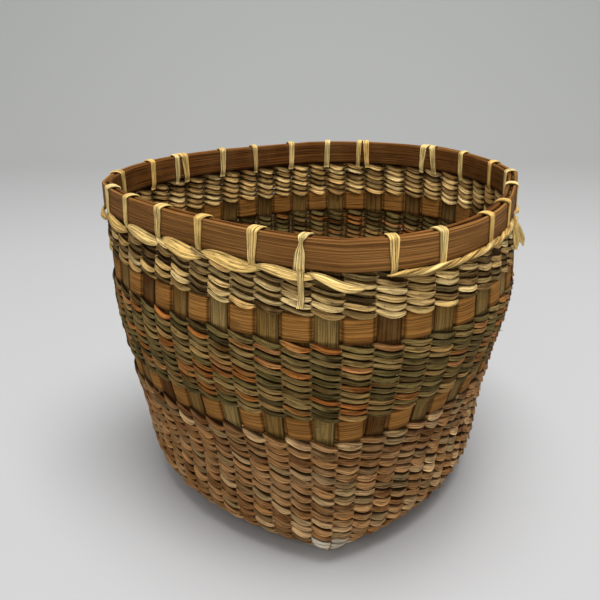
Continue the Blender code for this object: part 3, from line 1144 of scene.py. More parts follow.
@dataclass
class Stakes(Piece):
    """The split strips: down one wall, over the base and up the wall opposite.

    Over the base the strips of the two directions pass each other by a sine whose
    half wave is one pitch, so each goes over one neighbour and under the next.
    """

    half_thickness: float = 0.0003
    base_width: float = 0.0060
    gap_base: float = 0.0013
    gap_turn: float = 0.0024
    gap_rim: float = 0.0021
    gap_turn_climb: float = 0.008
    crown: float = 0.5
    weave_half: float = 0.00045
    sway: float = 0.02
    sways_per_metre: float = 20.0
    # painted shade on the stretch that the twined rows cover
    covered_painted_shade: float = 0.68
    # painted shade on the strip's edges
    edge_painted_shade: float = 0.6
    inner_tone: float = 0.35
    tone_span: Span = (0.15, 1.0)
    shade_span: Span = (0.82, 1.12)
    dark_shade: float = 0.8
    wall_step: float = 0.0011
    base_step: float = 0.0018
    columns: int = 9
    dark_stakes: tuple[str, ...] = ("stake_x_02", "stake_y_09")
    seed: int = 31

    def build(self) -> None:
        """Every stake, as its own strip."""
        material = STAKE_BARK.material(self.effects)
        rng = np.random.default_rng(self.seed)
        for letter in ("x", "y"):
            for number in range(self.wall.stakes_per_side):
                node = f"stake_{letter}_{number + 1:02d}"
                piece = self.strip(f"{node}_strip", number, letter == "y", rng)
                self.dress(piece, material, "stakes", node)

    def wall_part(self, turn: float) -> tuple[Array, ...]:
        """Centre, across, out, half width and painted cover shade of a strip up the wall, base first.

        It is covered, and gets painted shade, where the twined rows hide it between the plain hoops.
        """
        wall = self.wall
        length = float(wall.knots[-1])
        climb = np.linspace(0.0, length, int(length / self.wall_step))
        centre, tangent, _, outward = wall.axes(turn, climb, 0.5, True)
        side = np.full_like(climb, round(turn * wall.stake_angle / QUARTER_TURN))
        room = wall.point(turn + 0.5, climb, side) - wall.point(turn - 0.5, climb, side)
        gap_climbs = (0.0, self.gap_turn_climb, length)
        gap = np.interp(climb, gap_climbs, (self.gap_base, self.gap_turn, self.gap_rim))
        half_width = (np.linalg.norm(room, axis=-1) - gap) / 2.0
        # painted shade where the rows cover the strip, none over the plain hoops
        covered = np.full_like(climb, self.covered_painted_shade)
        for low, high in (wall.heights.lower_hoop, wall.heights.upper_hoop):
            inside = np.minimum(climb - wall.climb_at(low), wall.climb_at(high) - climb)
            covered = covered * (1.0 - smooth_step(inside / MM))
        return centre, tangent, outward, half_width, covered

    def base_part(self, number: int, crosswise: bool) -> tuple[Array, ...]:
        """The same of a strip over the base."""
        wall = self.wall
        heading = np.array((0.0, 1.0, 0.0)) if crosswise else np.array((1.0, 0.0, 0.0))
        beside = np.array((-1.0, 0.0, 0.0)) if crosswise else np.array((0.0, 1.0, 0.0))
        half = wall.half_side
        places = np.arange(-half + self.base_step, half - self.base_step / 2.0, self.base_step)
        crossing = places / wall.base_pitch + wall.middle_stake
        over = -np.cos(math.pi * (crossing + number)) * (1.0 if crosswise else -1.0)
        edge = smooth_step((half - np.abs(places)) / wall.base_pitch)
        height = wall.heights.base + self.weave_half * over * edge
        shift = np.array((*wall.centre, 0.0)) + beside * (number - wall.middle_stake) * wall.base_pitch
        count = len(places)
        return (
            shift + places[:, None] * heading + height[:, None] * UP,
            np.tile(beside, (count, 1)),
            np.tile(-UP, (count, 1)),
            np.full(count, self.base_width / 2.0),
            np.zeros(count),
        )

    def strip(self, name: str, number: int, crosswise: bool, rng: Random) -> Object:
        """One strip, from end to end.

        Args:
            name: Name of the piece.
            number: Its place among the strips of its direction.
            crosswise: Whether it runs along Y over the base.
            rng: Source of its unevenness.

        Returns:
            The strip.
        """
        quarter = self.wall.stakes_per_side
        step = number - self.wall.middle_stake
        far = self.wall_part(quarter + step if crosswise else step)
        near = [part[::-1] for part in self.wall_part((3 if crosswise else 2) * quarter - step)]
        near[1] = -near[1]
        parts = zip(near, self.base_part(number, crosswise), far)
        centre, across, out, half_width, covered = (np.concatenate(part) for part in parts)
        lay = length_along(centre)
        wave = ring_wave(rng, lay * self.sways_per_metre, lobes=(3, 7, 11), size=self.sway)[0]
        section = crowned_section(self.columns, self.crown)
        rings = strip_rings(centre, across, out, half_width * (1.0 + wave), self.half_thickness, section)
        dark = name.startswith(self.dark_stakes)
        tone = 0.0 if dark else rng.uniform(*self.tone_span)
        values = {
            "tone": np.where(section[:, 1] > 0.0, tone, tone * self.inner_tone),
            "shade": self.dark_shade if dark else rng.uniform(*self.shade_span),
            # tuck: painted shade on the edges and on the covered stretch
            "tuck": np.maximum(painted_edge_shade(section, self.edge_painted_shade), covered[:, None]),
        }
        around = length_around(section, float(half_width.mean()), self.half_thickness)
        return swept_mesh(name, rings, lay, around, values)


@dataclass
class Hoop(Piece):
    """A flat strip round the wall, from its start on and past it by a few stakes."""

    label: str
    node: str
    seed: int
    start: float
    look: ClassVar[PlantFinish]
    slot: ClassVar[str]

    def turns(self, overlap: int, samples: int) -> tuple[Array, Array]:
        """Its places round the wall, in stakes, and their angles."""
        turn = self.start + np.arange((self.wall.stake_count + overlap) * samples + 1) / samples
        return turn, turn * self.wall.stake_angle

    def put_on(self, turn: Array, rings: Array, around: Array, values: Mapping[str, Numbers]) -> None:
        """The hoop through its rings, dressed.

        Args:
            turn: Its places round the wall.
            rings: Its rings of points.
            around: Length round its section at each corner.
            values: Its tone, shade and tuck, the tuck being painted shade.
        """
        piece = swept_mesh(self.label, rings, (turn - turn[0]) * self.wall.rim_pitch, around, values)
        self.dress(piece, self.look.material(self.effects), self.slot, self.node)


@dataclass
class PlainHoop(Hoop):
    """A flat strip woven behind the odd stakes and in front of the even ones.

    Its middle stands off by reach times a power of the cosine of pi times the turn,
    keeping its sign.
    """

    look = PLAIN_HOOP_BARK
    slot = "plain_hoops"
    heights: Span
    half_thickness: float = 0.0003
    reach: float = 0.00095
    flatness: float = 0.35
    crown: float = 0.3
    wander: float = 0.12 * MM
    tone_wave: float = 0.2
    # painted shade on the strip's edges
    edge_painted_shade: float = 0.7
    # painted shade where the hoop crosses between two stakes
    beside_painted_shade: float = 0.8
    beside_fall: float = 5.5
    overlap: int = 3
    samples: int = 12
    columns: int = 8

    def build(self) -> None:
        """The hoop, between the heights of the solid it stands for."""
        rng = np.random.default_rng(self.seed)
        bottom, top = (self.wall.climb_at(height) for height in self.heights)
        turn, angle = self.turns(self.overlap, self.samples)
        cosine = np.cos(math.pi * turn)
        lift = 2.0 * self.half_thickness * smooth_step(turn - turn[-1] + self.overlap)
        stand = np.sign(cosine) * self.reach * np.abs(cosine) ** self.flatness + lift
        climb = (bottom + top) / 2.0 + ring_wave(rng, angle, lobes=(2, 3, 5), size=self.wander)[0]
        centre, _, rise, outward = self.wall.axes(turn, climb)
        size = ((top - bottom) / 2.0, self.half_thickness)
        section = crowned_section(self.columns, self.crown)
        rings = strip_rings(centre + outward * stand[:, None], rise, outward, *size, section)
        tone = 0.5 + ring_wave(rng, angle, lobes=(3, 7, 12), size=self.tone_wave)[0]
        # painted shade where the hoop crosses between two stakes
        beside = self.beside_painted_shade * np.clip(1.0 - self.beside_fall * np.abs(cosine), 0.0, 1.0)
        values = {
            "tone": np.clip(tone, 0.0, 1.0)[:, None],
            "shade": 1.0,
            # tuck: painted shade between the stakes and on the edges
            "tuck": np.maximum(beside[:, None], painted_edge_shade(section, self.edge_painted_shade)),
        }
        self.put_on(turn, rings, length_around(section, *size), values)


@dataclass
class RimHoop(Hoop):
    """A split hoop along the stakes' ends, with its two ends scarfed over each other."""

    look = RIM_WOOD
    slot = "rim_hoops"
    facing: float
    tone: float
    end_lift: float
    near: float = 0.0006
    thickness: float = 0.0015
    end_share: float = 0.3
    scarf_share: float = 0.35
    top_wave: float = 0.16 * MM
    bottom_wave: float = 0.14 * MM
    tone_wave: float = 0.10
    edge: float = 0.08
    # painted highlight along the top edge
    crest_painted_highlight: float = 0.35
    crest_span: Span = (0.90, 0.98)
    # painted shade along the bottom edge
    foot_painted_shade: float = 0.25
    foot_span: Span = (0.70, 1.0)
    overlap: int = 4
    samples: int = 8
    columns: int = 9

    def build(self) -> None:
        """The hoop, between the heights of the solid it stands for."""
        rng = np.random.default_rng(self.seed)
        low, high = self.wall.heights.rim
        turn, angle = self.turns(self.overlap, self.samples)
        begin = smooth_step((turn - turn[0]) / self.overlap)
        finish = smooth_step((turn[-1] - turn) / self.overlap)
        half = self.thickness / 2.0 * mix(self.end_share, 1.0, np.minimum(begin, finish))
        scarf = self.thickness * self.scarf_share * (begin - finish)
        stand = self.facing * (self.near + self.thickness / 2.0 + scarf)
        top = high + ring_wave(rng, angle, lobes=(3, 5, 9, 17, 31), size=self.top_wave)[0]
        top = top + self.end_lift * (1.0 - finish)
        bottom = low + ring_wave(rng, angle, lobes=(2, 5, 7, 23), size=self.bottom_wave)[0]
        centre, _, outward = self.wall.rim_axes(turn)
        centre = centre + outward * stand[:, None]
        centre[:, 2] = (top + bottom) / 2.0
        section = bar_section(self.columns, self.edge)
        upright = np.broadcast_to(UP, centre.shape)
        rings = strip_rings(centre, upright, outward, (top - bottom) / 2.0, half, section)
        tone = self.tone + ring_wave(rng, angle, lobes=(2, 5, 11), size=self.tone_wave)[0]
        crest = step_over(section[:, 0], *self.crest_span)
        foot = step_over(-section[:, 0], *self.foot_span)
        values = {
            "tone": np.clip(tone, 0.0, 1.0)[:, None],
            # painted highlight on the top edge, painted shade on the bottom edge
            "shade": 1.0 + self.crest_painted_highlight * crest - self.foot_painted_shade * foot,
            "tuck": 0.0,
        }
        around = length_around(section, (high - low) / 2.0, self.thickness / 2.0)
        self.put_on(turn, rings, around, values)


@dataclass(frozen=True)
class Wrap:
    """One turn of the strand over the rim: its place in stakes, and how it lies there.

    Its slide is how far, in stakes, it moves sideways from its outer foot to its
    inner one. Its widths over the top and at the feet are half ones, in millimetres.
    """

    turn: float
    slide: float
    top: float = 2.1
    foot: float = 1.4


@dataclass(frozen=True)
class Run:
    """A flat stretch of the strand below the rim, from one turn to another.

    Its drops are how far its ends hang below the hoop, and its height is half its own,
    all in millimetres.
    """

    start: float
    end: float
    drop: float = 1.2
    end_drop: float = 2.7
    height: float = 2.0


WRAPS = tuple(Wrap(*row) for row in (
    (44.25, 0.35, 1.7, 2.2), (42.5, 0.25, 2.4, 1.5), (40.05, 0.30, 2.1, 1.3), (37.75, 0.35, 2.2, 1.4),
    (35.55, 0.40, 1.8, 1.3), (33.75, 0.30, 2.2, 1.5), (31.0, -0.20, 1.9, 1.5), (28.6, 0.10, 1.6, 1.3),
    (26.8, -0.30), (27.15, 0.10, 1.5, 1.1), (24.6, 0.15, 1.7), (22.8, -0.10, 1.4, 1.1),
    (20.6, 0.10, 1.6), (18.45, 0.15, 1.4), (16.45, -0.25, 1.6, 1.2), (16.75, 0.15, 1.4, 1.1),
    (13.0, -0.45, 1.8, 1.3), (13.35, 0.30, 1.9, 1.2), (11.2, -0.15, 1.6), (8.8, -0.20, 1.8, 1.2),
    (6.8, -0.25, 1.8, 1.3), (4.2, -0.35, 1.9, 1.2), (1.1, -0.35, 1.9, 1.2), (-0.85, -0.15, 1.9, 1.3),
    (-3.35, -0.10, 2.0, 1.5), (-5.05, -0.10, 1.9, 1.2),
))
RUNS = tuple(Run(*row) for row in (
    (42.45, 44.7, 1.5, 2.2, 2.2), (39.95, 42.75, 1.4, 2.4, 2.6), (37.6, 40.2, 1.4, 2.8, 2.8),
    (35.3, 37.9, 1.0, 2.6, 2.7), (33.4, 35.5, 1.0, 3.0, 2.2), (30.6, 33.7), (28.4, 31.0, 1.0, 2.6, 2.2),
    (26.6, 28.7), (24.3, 26.9, 1.2, 2.8, 2.1), (22.5, 24.7), (20.3, 22.8, 1.0, 2.5, 2.1), (18.2, 20.6),
    (16.2, 18.4, 1.3, 2.8, 1.8), (12.8, 16.6, 1.0, 2.4, 2.2), (10.9, 13.2), (8.5, 11.2, 1.2, 2.8, 2.1),
    (6.5, 8.8), (3.9, 6.8, 1.0, 2.6, 2.0), (44.35, 46.1, 1.2, 5.8, 1.9),
))


@dataclass
class RimLashing(Piece):
    """The pale strand that binds the rim hoops, with its runs below them.

    A wrap's path starts below the hoops, close to the wall, stands off them by face,
    and goes over their top on half an ellipse. A run starts this far in from the
    middle of the wall, and stands out in its own middle.
    """

    half_depth: float = 0.0003
    tone_span: Span = (0.2, 1.0)
    shade_span: Span = (0.88, 1.06)
    crease_level: float = 0.9
    # painted shade in the creases
    crease_painted_shade: float = 0.85
    crease_shift: float = 0.06
    fold_roundness: float = 0.9
    fold_height: float = 1.05
    face: float = 0.0021
    clear: float = 0.0001
    below: float = 0.0022
    foot_in: float = 0.0009
    foot_share: float = 0.25
    shoulder: float = 0.0004
    crest: float = 0.0011
    crown_share: float = 0.75
    twisted_turn: float = 44.25
    waist_at: float = -0.42
    waist_length: float = 0.10
    waist_share: float = 0.62
    wrap_samples: int = 11
    run_half_depth: float = 0.0007
    run_in: float = 0.0014
    run_out: float = 0.0017
    run_sway: float = 0.0005
    run_power: float = 0.6
    run_blunt: float = 0.02
    run_fullness: Span = (0.85, 1.10)
    run_spread: Span = (0.92, 1.08)
    run_end_depth: float = 0.3
    run_lean: float = math.radians(22.0)
    run_samples: int = 19
    tuck_turn: float = 44.2
    tuck_half_width: float = 0.0014
    tuck_half_depth: float = 0.00035
    tuck_out: float = 0.0028
    tuck_under: float = 0.0004
    tuck_lean: float = 0.06
    tuck_sway: float = 0.03
    tuck_bends: float = 5.0
    tuck_fullness: float = 0.95
    tuck_waist: float = 0.15
    tuck_samples: int = 12
    seed: int = 57
    material: Material = field(init=False)
    rng: Random = field(init=False)

    def __post_init__(self) -> None:
        """Makes the strand's finish and the source of its unevenness."""
        self.material = LASHING_STRAND.material(self.effects)
        self.rng = np.random.default_rng(self.seed)

    def build(self) -> None:
        """The wraps, the runs between them and the first end."""
        for number, wrap in enumerate(WRAPS):
            self.wrap(f"rim_wrap_{number + 1}", wrap)
        for number, run in enumerate(RUNS):
            self.run(f"rim_run_{number + 1}", run)
        self.tuck()

    def bind(self, name: str, rings: Array, section: Array, width: float) -> None:
        """A stretch of the strand with its own tone, dressed.

        Its creases get painted shade: a corner's tuck grows as it lies below the crown.

        Args:
            name: Name of the piece.
            rings: Its rings of points.
            section: Corners x, y of its section.
            width: Half its full width.
        """
        lay = length_along(rings.mean(axis=1)) + self.rng.uniform(0.0, 1.0)
        values = {
            "tone": self.rng.uniform(*self.tone_span),
            "shade": self.rng.uniform(*self.shade_span),
            # tuck: painted shade in the creases
            "tuck": np.clip(self.crease_level - section[:, 1], 0.0, self.crease_painted_shade),
        }
        piece = swept_mesh(name, rings, lay, length_around(section, width, self.half_depth), values)
        self.dress(piece, self.material, "lashing", "rim_lashing")

    def wrap(self, name: str, wrap: Wrap) -> None:
        """One turn of the flat strand over both hoops.

        The path goes up the outer face, over the top on half an ellipse, and down the
        inner face, in the upright plane across the rim, and moves sideways evenly.

        Args:
            name: Name of the piece.
            wrap: Where it lies and how wide it is.
        """
        bottom, top = self.wall.heights.rim
        off = self.face + self.half_depth + self.clear
        shoulder = top - self.shoulder
        rise = np.linspace(0.0, 1.0, self.wrap_samples)
        outer_z = mix(bottom - self.below, shoulder, rise)
        outer_r = off - self.foot_in * smooth_step((self.foot_share - rise) / self.foot_share)
        arc = np.linspace(0.0, math.pi, self.wrap_samples)[1:-1]
        radius = np.concatenate((outer_r, off * np.cos(arc), -outer_r[::-1]))
        height = np.concatenate((outer_z, shoulder + self.crest * np.sin(arc), outer_z[::-1]))
        progress = np.linspace(-1.0, 1.0, len(radius))
        centre, tangent, outward = self.wall.rim_axes(wrap.turn + wrap.slide * 0.5 * progress)
        centre = centre + outward * radius[:, None]
        centre[:, 2] = height
        heading = unit(np.gradient(centre, axis=0))
        across = upright_to(tangent, heading)
        crown = smooth_step((1.0 - np.abs(progress)) / self.crown_share)
        width = mix(wrap.foot, wrap.top, crown) * MM
        if wrap.turn == self.twisted_turn:
            waist = np.exp(-(((progress - self.waist_at) / self.waist_length) ** 2))
            width = width * (1.0 - self.waist_share * waist)
        section = self.creased_section()
        rings = strip_rings(centre, across, np.cross(across, heading), width, self.half_depth, section)
        self.bind(name, rings, section, wrap.top * MM)

    def creased_section(self) -> Array:
        """A flat strand with three long creases in its outer face."""
        x = np.array((-1.0, -0.85, -0.62, -0.52, -0.42, -0.15, -0.04, 0.06, 0.35, 0.46, 0.56, 0.85, 1.0))
        y = np.array((0.3, 1.1, 1.2, 0.15, 1.1, 1.3, 0.35, 1.2, 1.25, 0.1, 1.1, 1.1, 0.3))
        shift = self.rng.uniform(-self.crease_shift, self.crease_shift)
        inner = np.column_stack((x[::-4], np.full(len(x[::-4]), -1.0)))
        return np.concatenate((np.column_stack((x + shift * (1.0 - x * x), y)), inner))

    def folded_section(self) -> Array:
        """A strand folded lengthwise: a rounded back with a few shallow creases."""
        x = np.array((-1.0, -0.86, -0.6, -0.5, -0.38, -0.05, 0.08, 0.2, 0.5, 0.62, 0.74, 0.9, 1.0))
        crown = np.sqrt(1.0 - self.fold_roundness * x * x)
        crease = np.array((0.0, 0.0, 0.0, 0.35, 0.0, 0.0, 0.22, 0.0, 0.0, 0.4, 0.0, 0.0, 0.0))
        inner = np.column_stack((x[::-3], -crown[::-3]))
        return np.concatenate((np.column_stack((x, self.fold_height * crown - crease)), inner[1:-1]))

    def run(self, name: str, run: Run) -> None:
        """The strand's run from one wrap to the next, a leaf shape below the rim.

        Its half height is the full one times a power of the sine of pi times the share
        of the way, fuller towards its right end. It comes out from behind the hoop,
        stands in front of it, and goes in again.

        Args:
            name: Name of the piece.
            run: Where it lies and how high it is.
        """
        share = np.linspace(0.0, 1.0, self.run_samples)
        centre, _, outward = self.wall.rim_axes(mix(run.start, run.end, share))
        arch = np.sin(math.pi * np.clip(share, self.run_blunt, 1.0 - self.run_blunt))
        full = arch**self.run_power
        centre = centre + outward * (self.run_in + self.run_out * full)[:, None]
        centre[:, 2] = self.wall.heights.rim[0] - mix(run.drop, run.end_drop, share) * MM
        centre[:, 2] += self.run_sway * np.sin(TURN * share)
        width = run.height * MM * full * mix(*self.run_fullness, share) * self.rng.uniform(*self.run_spread)
        depth = self.run_half_depth * mix(self.run_end_depth, 1.0, arch)
        across = UP * math.cos(self.run_lean) - outward * math.sin(self.run_lean)
        out = outward * math.cos(self.run_lean) + UP * math.sin(self.run_lean)
        section = self.folded_section()
        rings = strip_rings(centre, across, out, width, depth, section)
        self.bind(name, rings, section, run.height * MM)

    def tuck(self) -> None:
        """The strand's first end, laid flat down over the upper twining."""
        wall = self.wall
        share = np.linspace(0.0, 1.0, self.tuck_samples)
        low = wall.climb_at(wall.heights.tail_low)
        climb = mix(low, wall.climb_at(wall.heights.rim[0] - self.tuck_under), share)
        sway = self.tuck_sway * np.sin(self.tuck_bends * share)
        turn = self.tuck_turn + self.tuck_lean * (share - 0.5) + sway
        centre, tangent, _, outward = wall.axes(turn, climb)
        stand = self.tuck_out - MM * (1.0 - share) ** 2
        waist = self.tuck_waist * np.sin(math.pi * share)
        width = self.tuck_half_width * (self.tuck_fullness - waist)
        section = self.creased_section()
        middle = centre + outward * stand[:, None]
        rings = strip_rings(middle, tangent, outward, width, self.tuck_half_depth, section)
        self.bind("rim_tucked_end", rings, section, self.tuck_half_width)


@dataclass
class ReturnStrand(Piece):
    """The lashing's end: two plies twisted back along the rim, and a split loose tail."""

    first_turn: float = -5.25
    last_turn: float = 2.9
    ply_half_width: float = 0.00105
    ply_half_depth: float = 0.00065
    ply_samples: int = 110
    twist_radius: float = 0.0006
    twists: float = 3.2
    start_share: float = 0.3
    start_length: float = 0.08
    corners: int = 12
    sharpness: float = 0.1
    first_tone: float = 0.35
    tone_step: float = 0.3
    valley_growth: float = 1.2
    valley_start: float = 0.45
    # painted shade where the plies meet
    valley_painted_shade: float = 0.8
    out: float = 0.0031
    drop: float = 0.0012
    drop_span: Span = (-4.0, 0.0)
    tail_half_width: float = 0.0016
    tail_half_depth: float = 0.00022
    tail_twist: float = math.radians(64.0)
    tail_samples: int = 16
    tail_back: float = 0.3
    tail_out: float = 0.0034
    tail_apart: float = 0.0030
    tail_fall: float = 1.3
    tail_lift: float = 0.0012
    tail_turned: float = 0.4
    tail_corners: int = 10
    tail_tone: float = 0.6
    point_share: float = 0.8
    point_span: Span = (0.75, 1.0)
    slip_spreads: Span = (-0.45, 0.35)

    def build(self) -> None:
        """Both plies and both slips of the tail."""
        material = LASHING_STRAND.material(self.effects)
        plies = [self.ply(f"return_ply_{ply + 1}", math.pi * ply) for ply in range(2)]
        slips = [self.tail(f"tail_slip_{slip + 1}", self.slip_spreads[slip]) for slip in range(2)]
        for piece in (*plies, *slips):
            self.dress(piece, material, "lashing", "lashing_tail")

    def middle(self, turn: Array) -> tuple[Array, Array]:
        """The twisted pair's middle line and the outward direction along it."""
        centre, _, outward = self.wall.rim_axes(turn)
        centre = centre + outward * self.out
        hanging = 1.0 - step_over(turn, *self.drop_span)
        centre[..., 2] = self.wall.heights.rim[0] - self.drop * hanging
        return centre, outward

    def ply(self, name: str, phase: float) -> Object:
        """One ply: a helix of small radius round the pair's middle line."""
        share = np.linspace(0.0, 1.0, self.ply_samples)
        centre, outward = self.middle(mix(self.first_turn, self.last_turn, share))
        angle = phase + TURN * self.twists * share
        radial = np.cos(angle)[:, None] * outward + np.sin(angle)[:, None] * UP
        grow = mix(self.start_share, 1.0, smooth_step(share / self.start_length))
        centre = centre + radial * (self.twist_radius * grow)[:, None]
        heading = unit(np.gradient(centre, axis=0))
        out = upright_to(radial, heading)
        section = lens_section(self.corners, self.sharpness)
        width, depth = self.ply_half_width * grow, self.ply_half_depth * grow
        rings = strip_rings(centre, np.cross(out, heading), out, width, depth, section)
        valley = self.valley_growth * np.abs(section[:, 0]) - self.valley_start
        values = {
            "tone": self.first_tone + self.tone_step * phase / math.pi,
            "shade": 1.0,
            # tuck: painted shade towards the section's edges, where the plies meet
            "tuck": np.clip(valley, 0.0, self.valley_painted_shade),
        }
        around = length_around(section, self.ply_half_width, self.ply_half_depth)
        return swept_mesh(name, rings, length_along(centre), around, values)

    def tail(self, name: str, spread: float) -> Object:
        """One slip of the split tail, falling and standing off a little.

        It turns its flat side to the viewer as it leaves the rim, and narrows to its
        point.

        Args:
            name: Name of the piece.
            spread: How far it keeps from the other slip, and to which side.

        Returns:
            The slip.
        """
        share = np.linspace(0.0, 1.0, self.tail_samples)
        centre, outward = self.middle(self.last_turn - self.tail_back + (0.5 + 0.5 * spread) * share)
        low = self.wall.heights.tail_low + self.tail_lift * (1.0 + spread)
        height = mix(centre[0, 2], low, share**self.tail_fall)
        centre = centre + outward * ((self.tail_out + self.tail_apart * spread) * share)[:, None]
        centre[:, 2] = height
        heading = unit(np.gradient(centre, axis=0))
        flat = upright_to(outward, heading)
        twist = self.tail_twist * smooth_step(share / self.tail_turned)[:, None]
        out = flat * np.cos(twist) - np.cross(flat, heading) * np.sin(twist)
        taper = 1.0 - self.point_share * step_over(share, *self.point_span)
        width = self.tail_half_width * (0.5 + 0.5 * share) * taper
        section = lens_section(self.tail_corners, self.sharpness)
        rings = strip_rings(centre, np.cross(out, heading), out, width, self.tail_half_depth, section)
        around = length_around(section, self.tail_half_width, self.tail_half_depth)
        values = {"tone": self.tail_tone, "shade": 1.0, "tuck": 0.0}
        return swept_mesh(name, rings, length_along(centre), around, values)


@dataclass(frozen=True)
class Fibre:
    """A loose fibre: its root on the wall, and where its tip lies from there.

    The tip is this many stakes on, this far out and this far up. All but the turn and
    the stakes are in millimetres.
    """

    turn: float
    height: float
    on: float
    out: float
    up: float


FIBRES = tuple(Fibre(*row) for row in (
    (36.4, 70.0, -0.5, 3.0, -7.0), (36.1, 69.0, -0.2, 2.2, -8.5), (36.0, 66.0, 0.5, 1.5, -6.0),
    (34.6, 104.0, -0.4, 2.4, -4.0), (49.5, 131.0, 0.6, 2.0, 1.0), (44.7, 74.0, 0.4, 1.8, 4.0),
    (3.2, 85.0, 0.5, 2.2, -5.0), (51.0, 52.0, 0.6, 2.4, -3.0), (20.0, 60.0, 0.5, 2.4, -5.0),
    (27.0, 127.0, -0.5, 2.2, -4.0),
))


@dataclass
class LooseFibres(Piece):
    """A few fibres that have worked loose from the rows."""

    half_width: float = 0.00016
    taper: float = 0.6
    root_out: float = 0.0012
    curl: float = 1.6
    sway: float = 0.12
    half_waves: float = 2.5
    corners: int = 6
    tone: float = 0.9
    shade: float = 1.1
    count: int = 12

    def build(self) -> None:
        """Every fibre, as a thin tapering line that curls away from the wall."""
        material = TAN_TWINING.material(self.effects)
        for number, fibre in enumerate(FIBRES):
            piece = self.line(f"loose_fibre_{number + 1}", fibre)
            self.dress(piece, material, "tan_twining", "lower_twined_zone")

    def line(self, name: str, fibre: Fibre) -> Object:
        """One fibre: out by the share of its length to the power of its curl, on and up evenly."""
        wall = self.wall
        share = np.linspace(0.0, 1.0, self.count)
        turn = fibre.turn + fibre.on * share + self.sway * np.sin(self.half_waves * math.pi * share)
        climb = wall.climb_at(fibre.height * MM) + fibre.up * MM * share
        centre, _, _, outward = wall.axes(turn, climb)
        centre = centre + outward * (self.root_out + fibre.out * MM * share**self.curl)[:, None]
        heading = unit(np.gradient(centre, axis=0))
        across = unit(np.cross(heading, outward))
        width = self.half_width * (1.0 - self.taper * share)
        section = lens_section(self.corners, 0.0)
        rings = strip_rings(centre, across, np.cross(across, heading), width, width, section)
        around = length_around(section, self.half_width, self.half_width)
        values = {"tone": self.tone, "shade": self.shade, "tuck": 0.0}
        return swept_mesh(name, rings, length_along(centre), around, values)


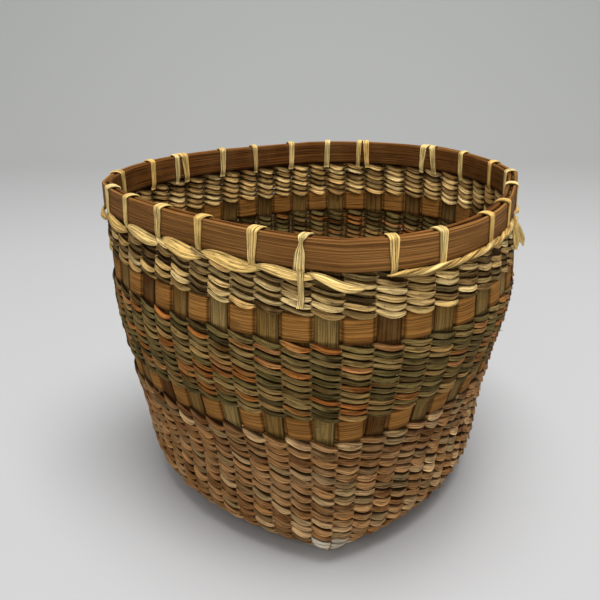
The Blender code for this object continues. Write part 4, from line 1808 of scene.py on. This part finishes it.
@dataclass
class Studio:
    """The pale floor that curves up behind, the soft lamps and the camera."""

    floor_half: float = 1.6
    floor_front: float = 1.2
    wall_distance: float = 0.75
    curve_radius: float = 0.45
    wall_height: float = 1.6
    columns: int = 9
    floor_rows: int = 12
    arc_rows: int = 24
    back_rows: int = 5
    paper_roughness: float = 0.9
    # the paper's grey with painted light falloff: lighter just behind the basket, darker in front and far
    # back
    paper_colour_and_painted_falloff: tuple[tuple[float, Colour], ...] = (
        (0.0, (0.485, 0.485, 0.49, 1.0)),
        (0.35, (0.545, 0.545, 0.545, 1.0)),
        (1.0, (0.49, 0.50, 0.485, 1.0)),
    )
    # distance along the heading where the painted falloff ramp starts
    painted_falloff_start: float = -0.1
    air: float = 0.38
    view_turn: float = math.radians(41.95)
    focal_pixels: float = 765.77
    frame_pixels: float = 600.0
    sensor: float = 36.0
    nearest: float = 0.01
    eye: tuple[float, float, float] = (0.2172, -0.2623, 0.2246)
    pitch: float = math.radians(21.68)
    roll: float = math.radians(0.415)

    def build(self) -> None:
        """The whole studio."""
        self.sheet()
        self.lamp("overhead_lamp", place=(0.23, -0.12, 1.25), target=(0.0, 0.0, 0.05), size=0.7, power=17.0)
        self.lamp("front_lamp", place=(0.55, -0.95, 0.8), target=(0.0, 0.0, 0.06), size=0.8, power=3.5)
        self.world()
        self.camera()

    def level_axes(self) -> tuple[Array, Array]:
        """The level directions ahead of the camera and to its right."""
        cosine, sine = math.cos(self.view_turn), math.sin(self.view_turn)
        return np.array((-sine, cosine, 0.0)), np.array((cosine, sine, 0.0))

    def sheet(self) -> None:
        """Floor and back in one: flat, then a quarter circle, then upright."""
        heading, right = self.level_axes()
        arc = np.linspace(0.0, QUARTER_TURN, self.arc_rows)
        floor_far = np.linspace(-self.floor_front, self.wall_distance, self.floor_rows)[:-1]
        back_high = np.linspace(self.curve_radius, self.wall_height, self.back_rows)[1:]
        curve_far = self.wall_distance + self.curve_radius * np.sin(arc)
        curve_high = self.curve_radius * (1.0 - np.cos(arc))
        far = np.concatenate((floor_far, curve_far, np.full_like(back_high, curve_far[-1])))
        high = np.concatenate((np.zeros_like(floor_far), curve_high, back_high))
        sides = np.linspace(-self.floor_half, self.floor_half, self.columns)
        points = far[:, None, None] * heading + sides[:, None] * right + high[:, None, None] * UP
        row, column = np.meshgrid(np.arange(len(far) - 1), np.arange(self.columns - 1), indexing="ij")
        start = row * self.columns + column
        ahead = start + self.columns
        quads = np.stack((start, start + 1, ahead + 1, ahead), axis=-1)
        sizes = np.full(start.size, 4)
        floor = new_mesh_object("studio_sheet", points.reshape(-1, 3), quads.ravel(), sizes)
        material, sheet, shader = new_material("studio paper")
        place = {0: sheet.add("TexCoord").outputs["Object"], 1: tuple(heading)}
        along = sheet.add("VectorMath", place, operation="DOT_PRODUCT").outputs["Value"]
        depth = sheet.stretch(along, self.painted_falloff_start, self.wall_distance + self.curve_radius)
        # painted light falloff on the paper, by distance along the heading
        sheet.feed(shader.inputs["Base Color"], sheet.ramp(depth, self.paper_colour_and_painted_falloff))
        shader.inputs["Roughness"].default_value = self.paper_roughness
        floor.data.materials.append(material)

    def world(self) -> None:
        """An even pale light from all round."""
        world = bpy.data.worlds.new("studio air")
        world.use_nodes = True
        back = world.node_tree.nodes["Background"]
        back.inputs["Color"].default_value = (1.0, 1.0, 1.0, 1.0)
        back.inputs["Strength"].default_value = self.air
        bpy.context.scene.world = world

    def lamp(
        self, name: str, place: tuple[float, ...], target: tuple[float, ...], size: float, power: float
    ) -> None:
        """A square area lamp that faces its target.

        Args:
            name: Name of the lamp.
            place: Where it hangs.
            target: What it faces.
            size: Its side.
            power: Its power in watts.
        """
        light = bpy.data.lights.new(name, "AREA")
        light.shape = "SQUARE"
        light.size = size
        light.energy = power
        holder = new_object(name, light)
        holder.location = place
        holder.rotation_euler = (Vector(target) - Vector(place)).to_track_quat("-Z", "Y").to_euler()

    def camera(self) -> None:
        """The camera, from its place, heading, pitch and roll."""
        level, level_right = self.level_axes()
        heading = Vector(level * math.cos(self.pitch) - UP * math.sin(self.pitch))
        right = Vector(level_right)
        above = right.cross(heading)
        rolled_right = right * math.cos(self.roll) - above * math.sin(self.roll)
        rolled_above = right * math.sin(self.roll) + above * math.cos(self.roll)
        lens = bpy.data.cameras.new("view")
        lens.sensor_width = self.sensor
        lens.lens = self.focal_pixels * self.sensor / self.frame_pixels
        lens.clip_start = self.nearest
        holder = new_object("view", lens)
        axes = Matrix((rolled_right, rolled_above, -heading)).transposed().to_4x4()
        holder.matrix_world = Matrix.Translation(self.eye) @ axes
        bpy.context.scene.camera = holder


def main() -> None:
    """Builds the basket piece by piece, then the studio."""
    logging.basicConfig(level=logging.INFO, format="%(name)s %(message)s")
    bpy.context.scene.view_settings.view_transform = "Standard"
    wall = WallShape()
    effects = SharedEffects()
    Stakes(wall, effects).build()
    levels = wall.heights
    hoop_low, hoop_high = (wall.climb_at(height) for height in levels.lower_hoop)
    neck_low, neck_high = (wall.climb_at(height) for height in levels.upper_hoop)
    zone_top = wall.climb_at(levels.zone_top)
    zones = (
        ("lower", "tan_twining", TAN_TWINING, LOWER_STRANDS, levels.zone_start, hoop_low, 18, 11),
        ("middle", "green_twining", GREEN_TWINING, MIDDLE_STRANDS, hoop_high, neck_low, 12, 12),
        ("upper", "cream_twining", CREAM_TWINING, UPPER_STRANDS, neck_high, zone_top, 6, 13),
    )
    for label, slot, finish, look, low, high, rows, seed in zones:
        TwinedZone(wall, effects, label, slot, finish, look, low, high, rows, seed).build()
    for label, seed, start, heights in (
        ("lower", 21, 18.0, levels.lower_hoop),
        ("upper", 22, 22.0, levels.upper_hoop),
    ):
        PlainHoop(wall, effects, f"{label}_woven_hoop", f"{label}_plain_hoop", seed, start, heights).build()
    for label, seed, start, facing, tone, lift in (
        ("outer", 23, 9.5, 1.0, 0.60, 0.5 * MM),
        ("inner", 24, -3.2, -1.0, 0.04, 0.6 * MM),
    ):
        names = (f"{label}_split_hoop", f"rim_hoop_{label}")
        RimHoop(wall, effects, *names, seed, start, facing, tone, lift).build()
    RimLashing(wall, effects).build()
    ReturnStrand(wall, effects).build()
    LooseFibres(wall, effects).build()
    Studio().build()


if __name__ == "__main__":
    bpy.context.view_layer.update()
    main()
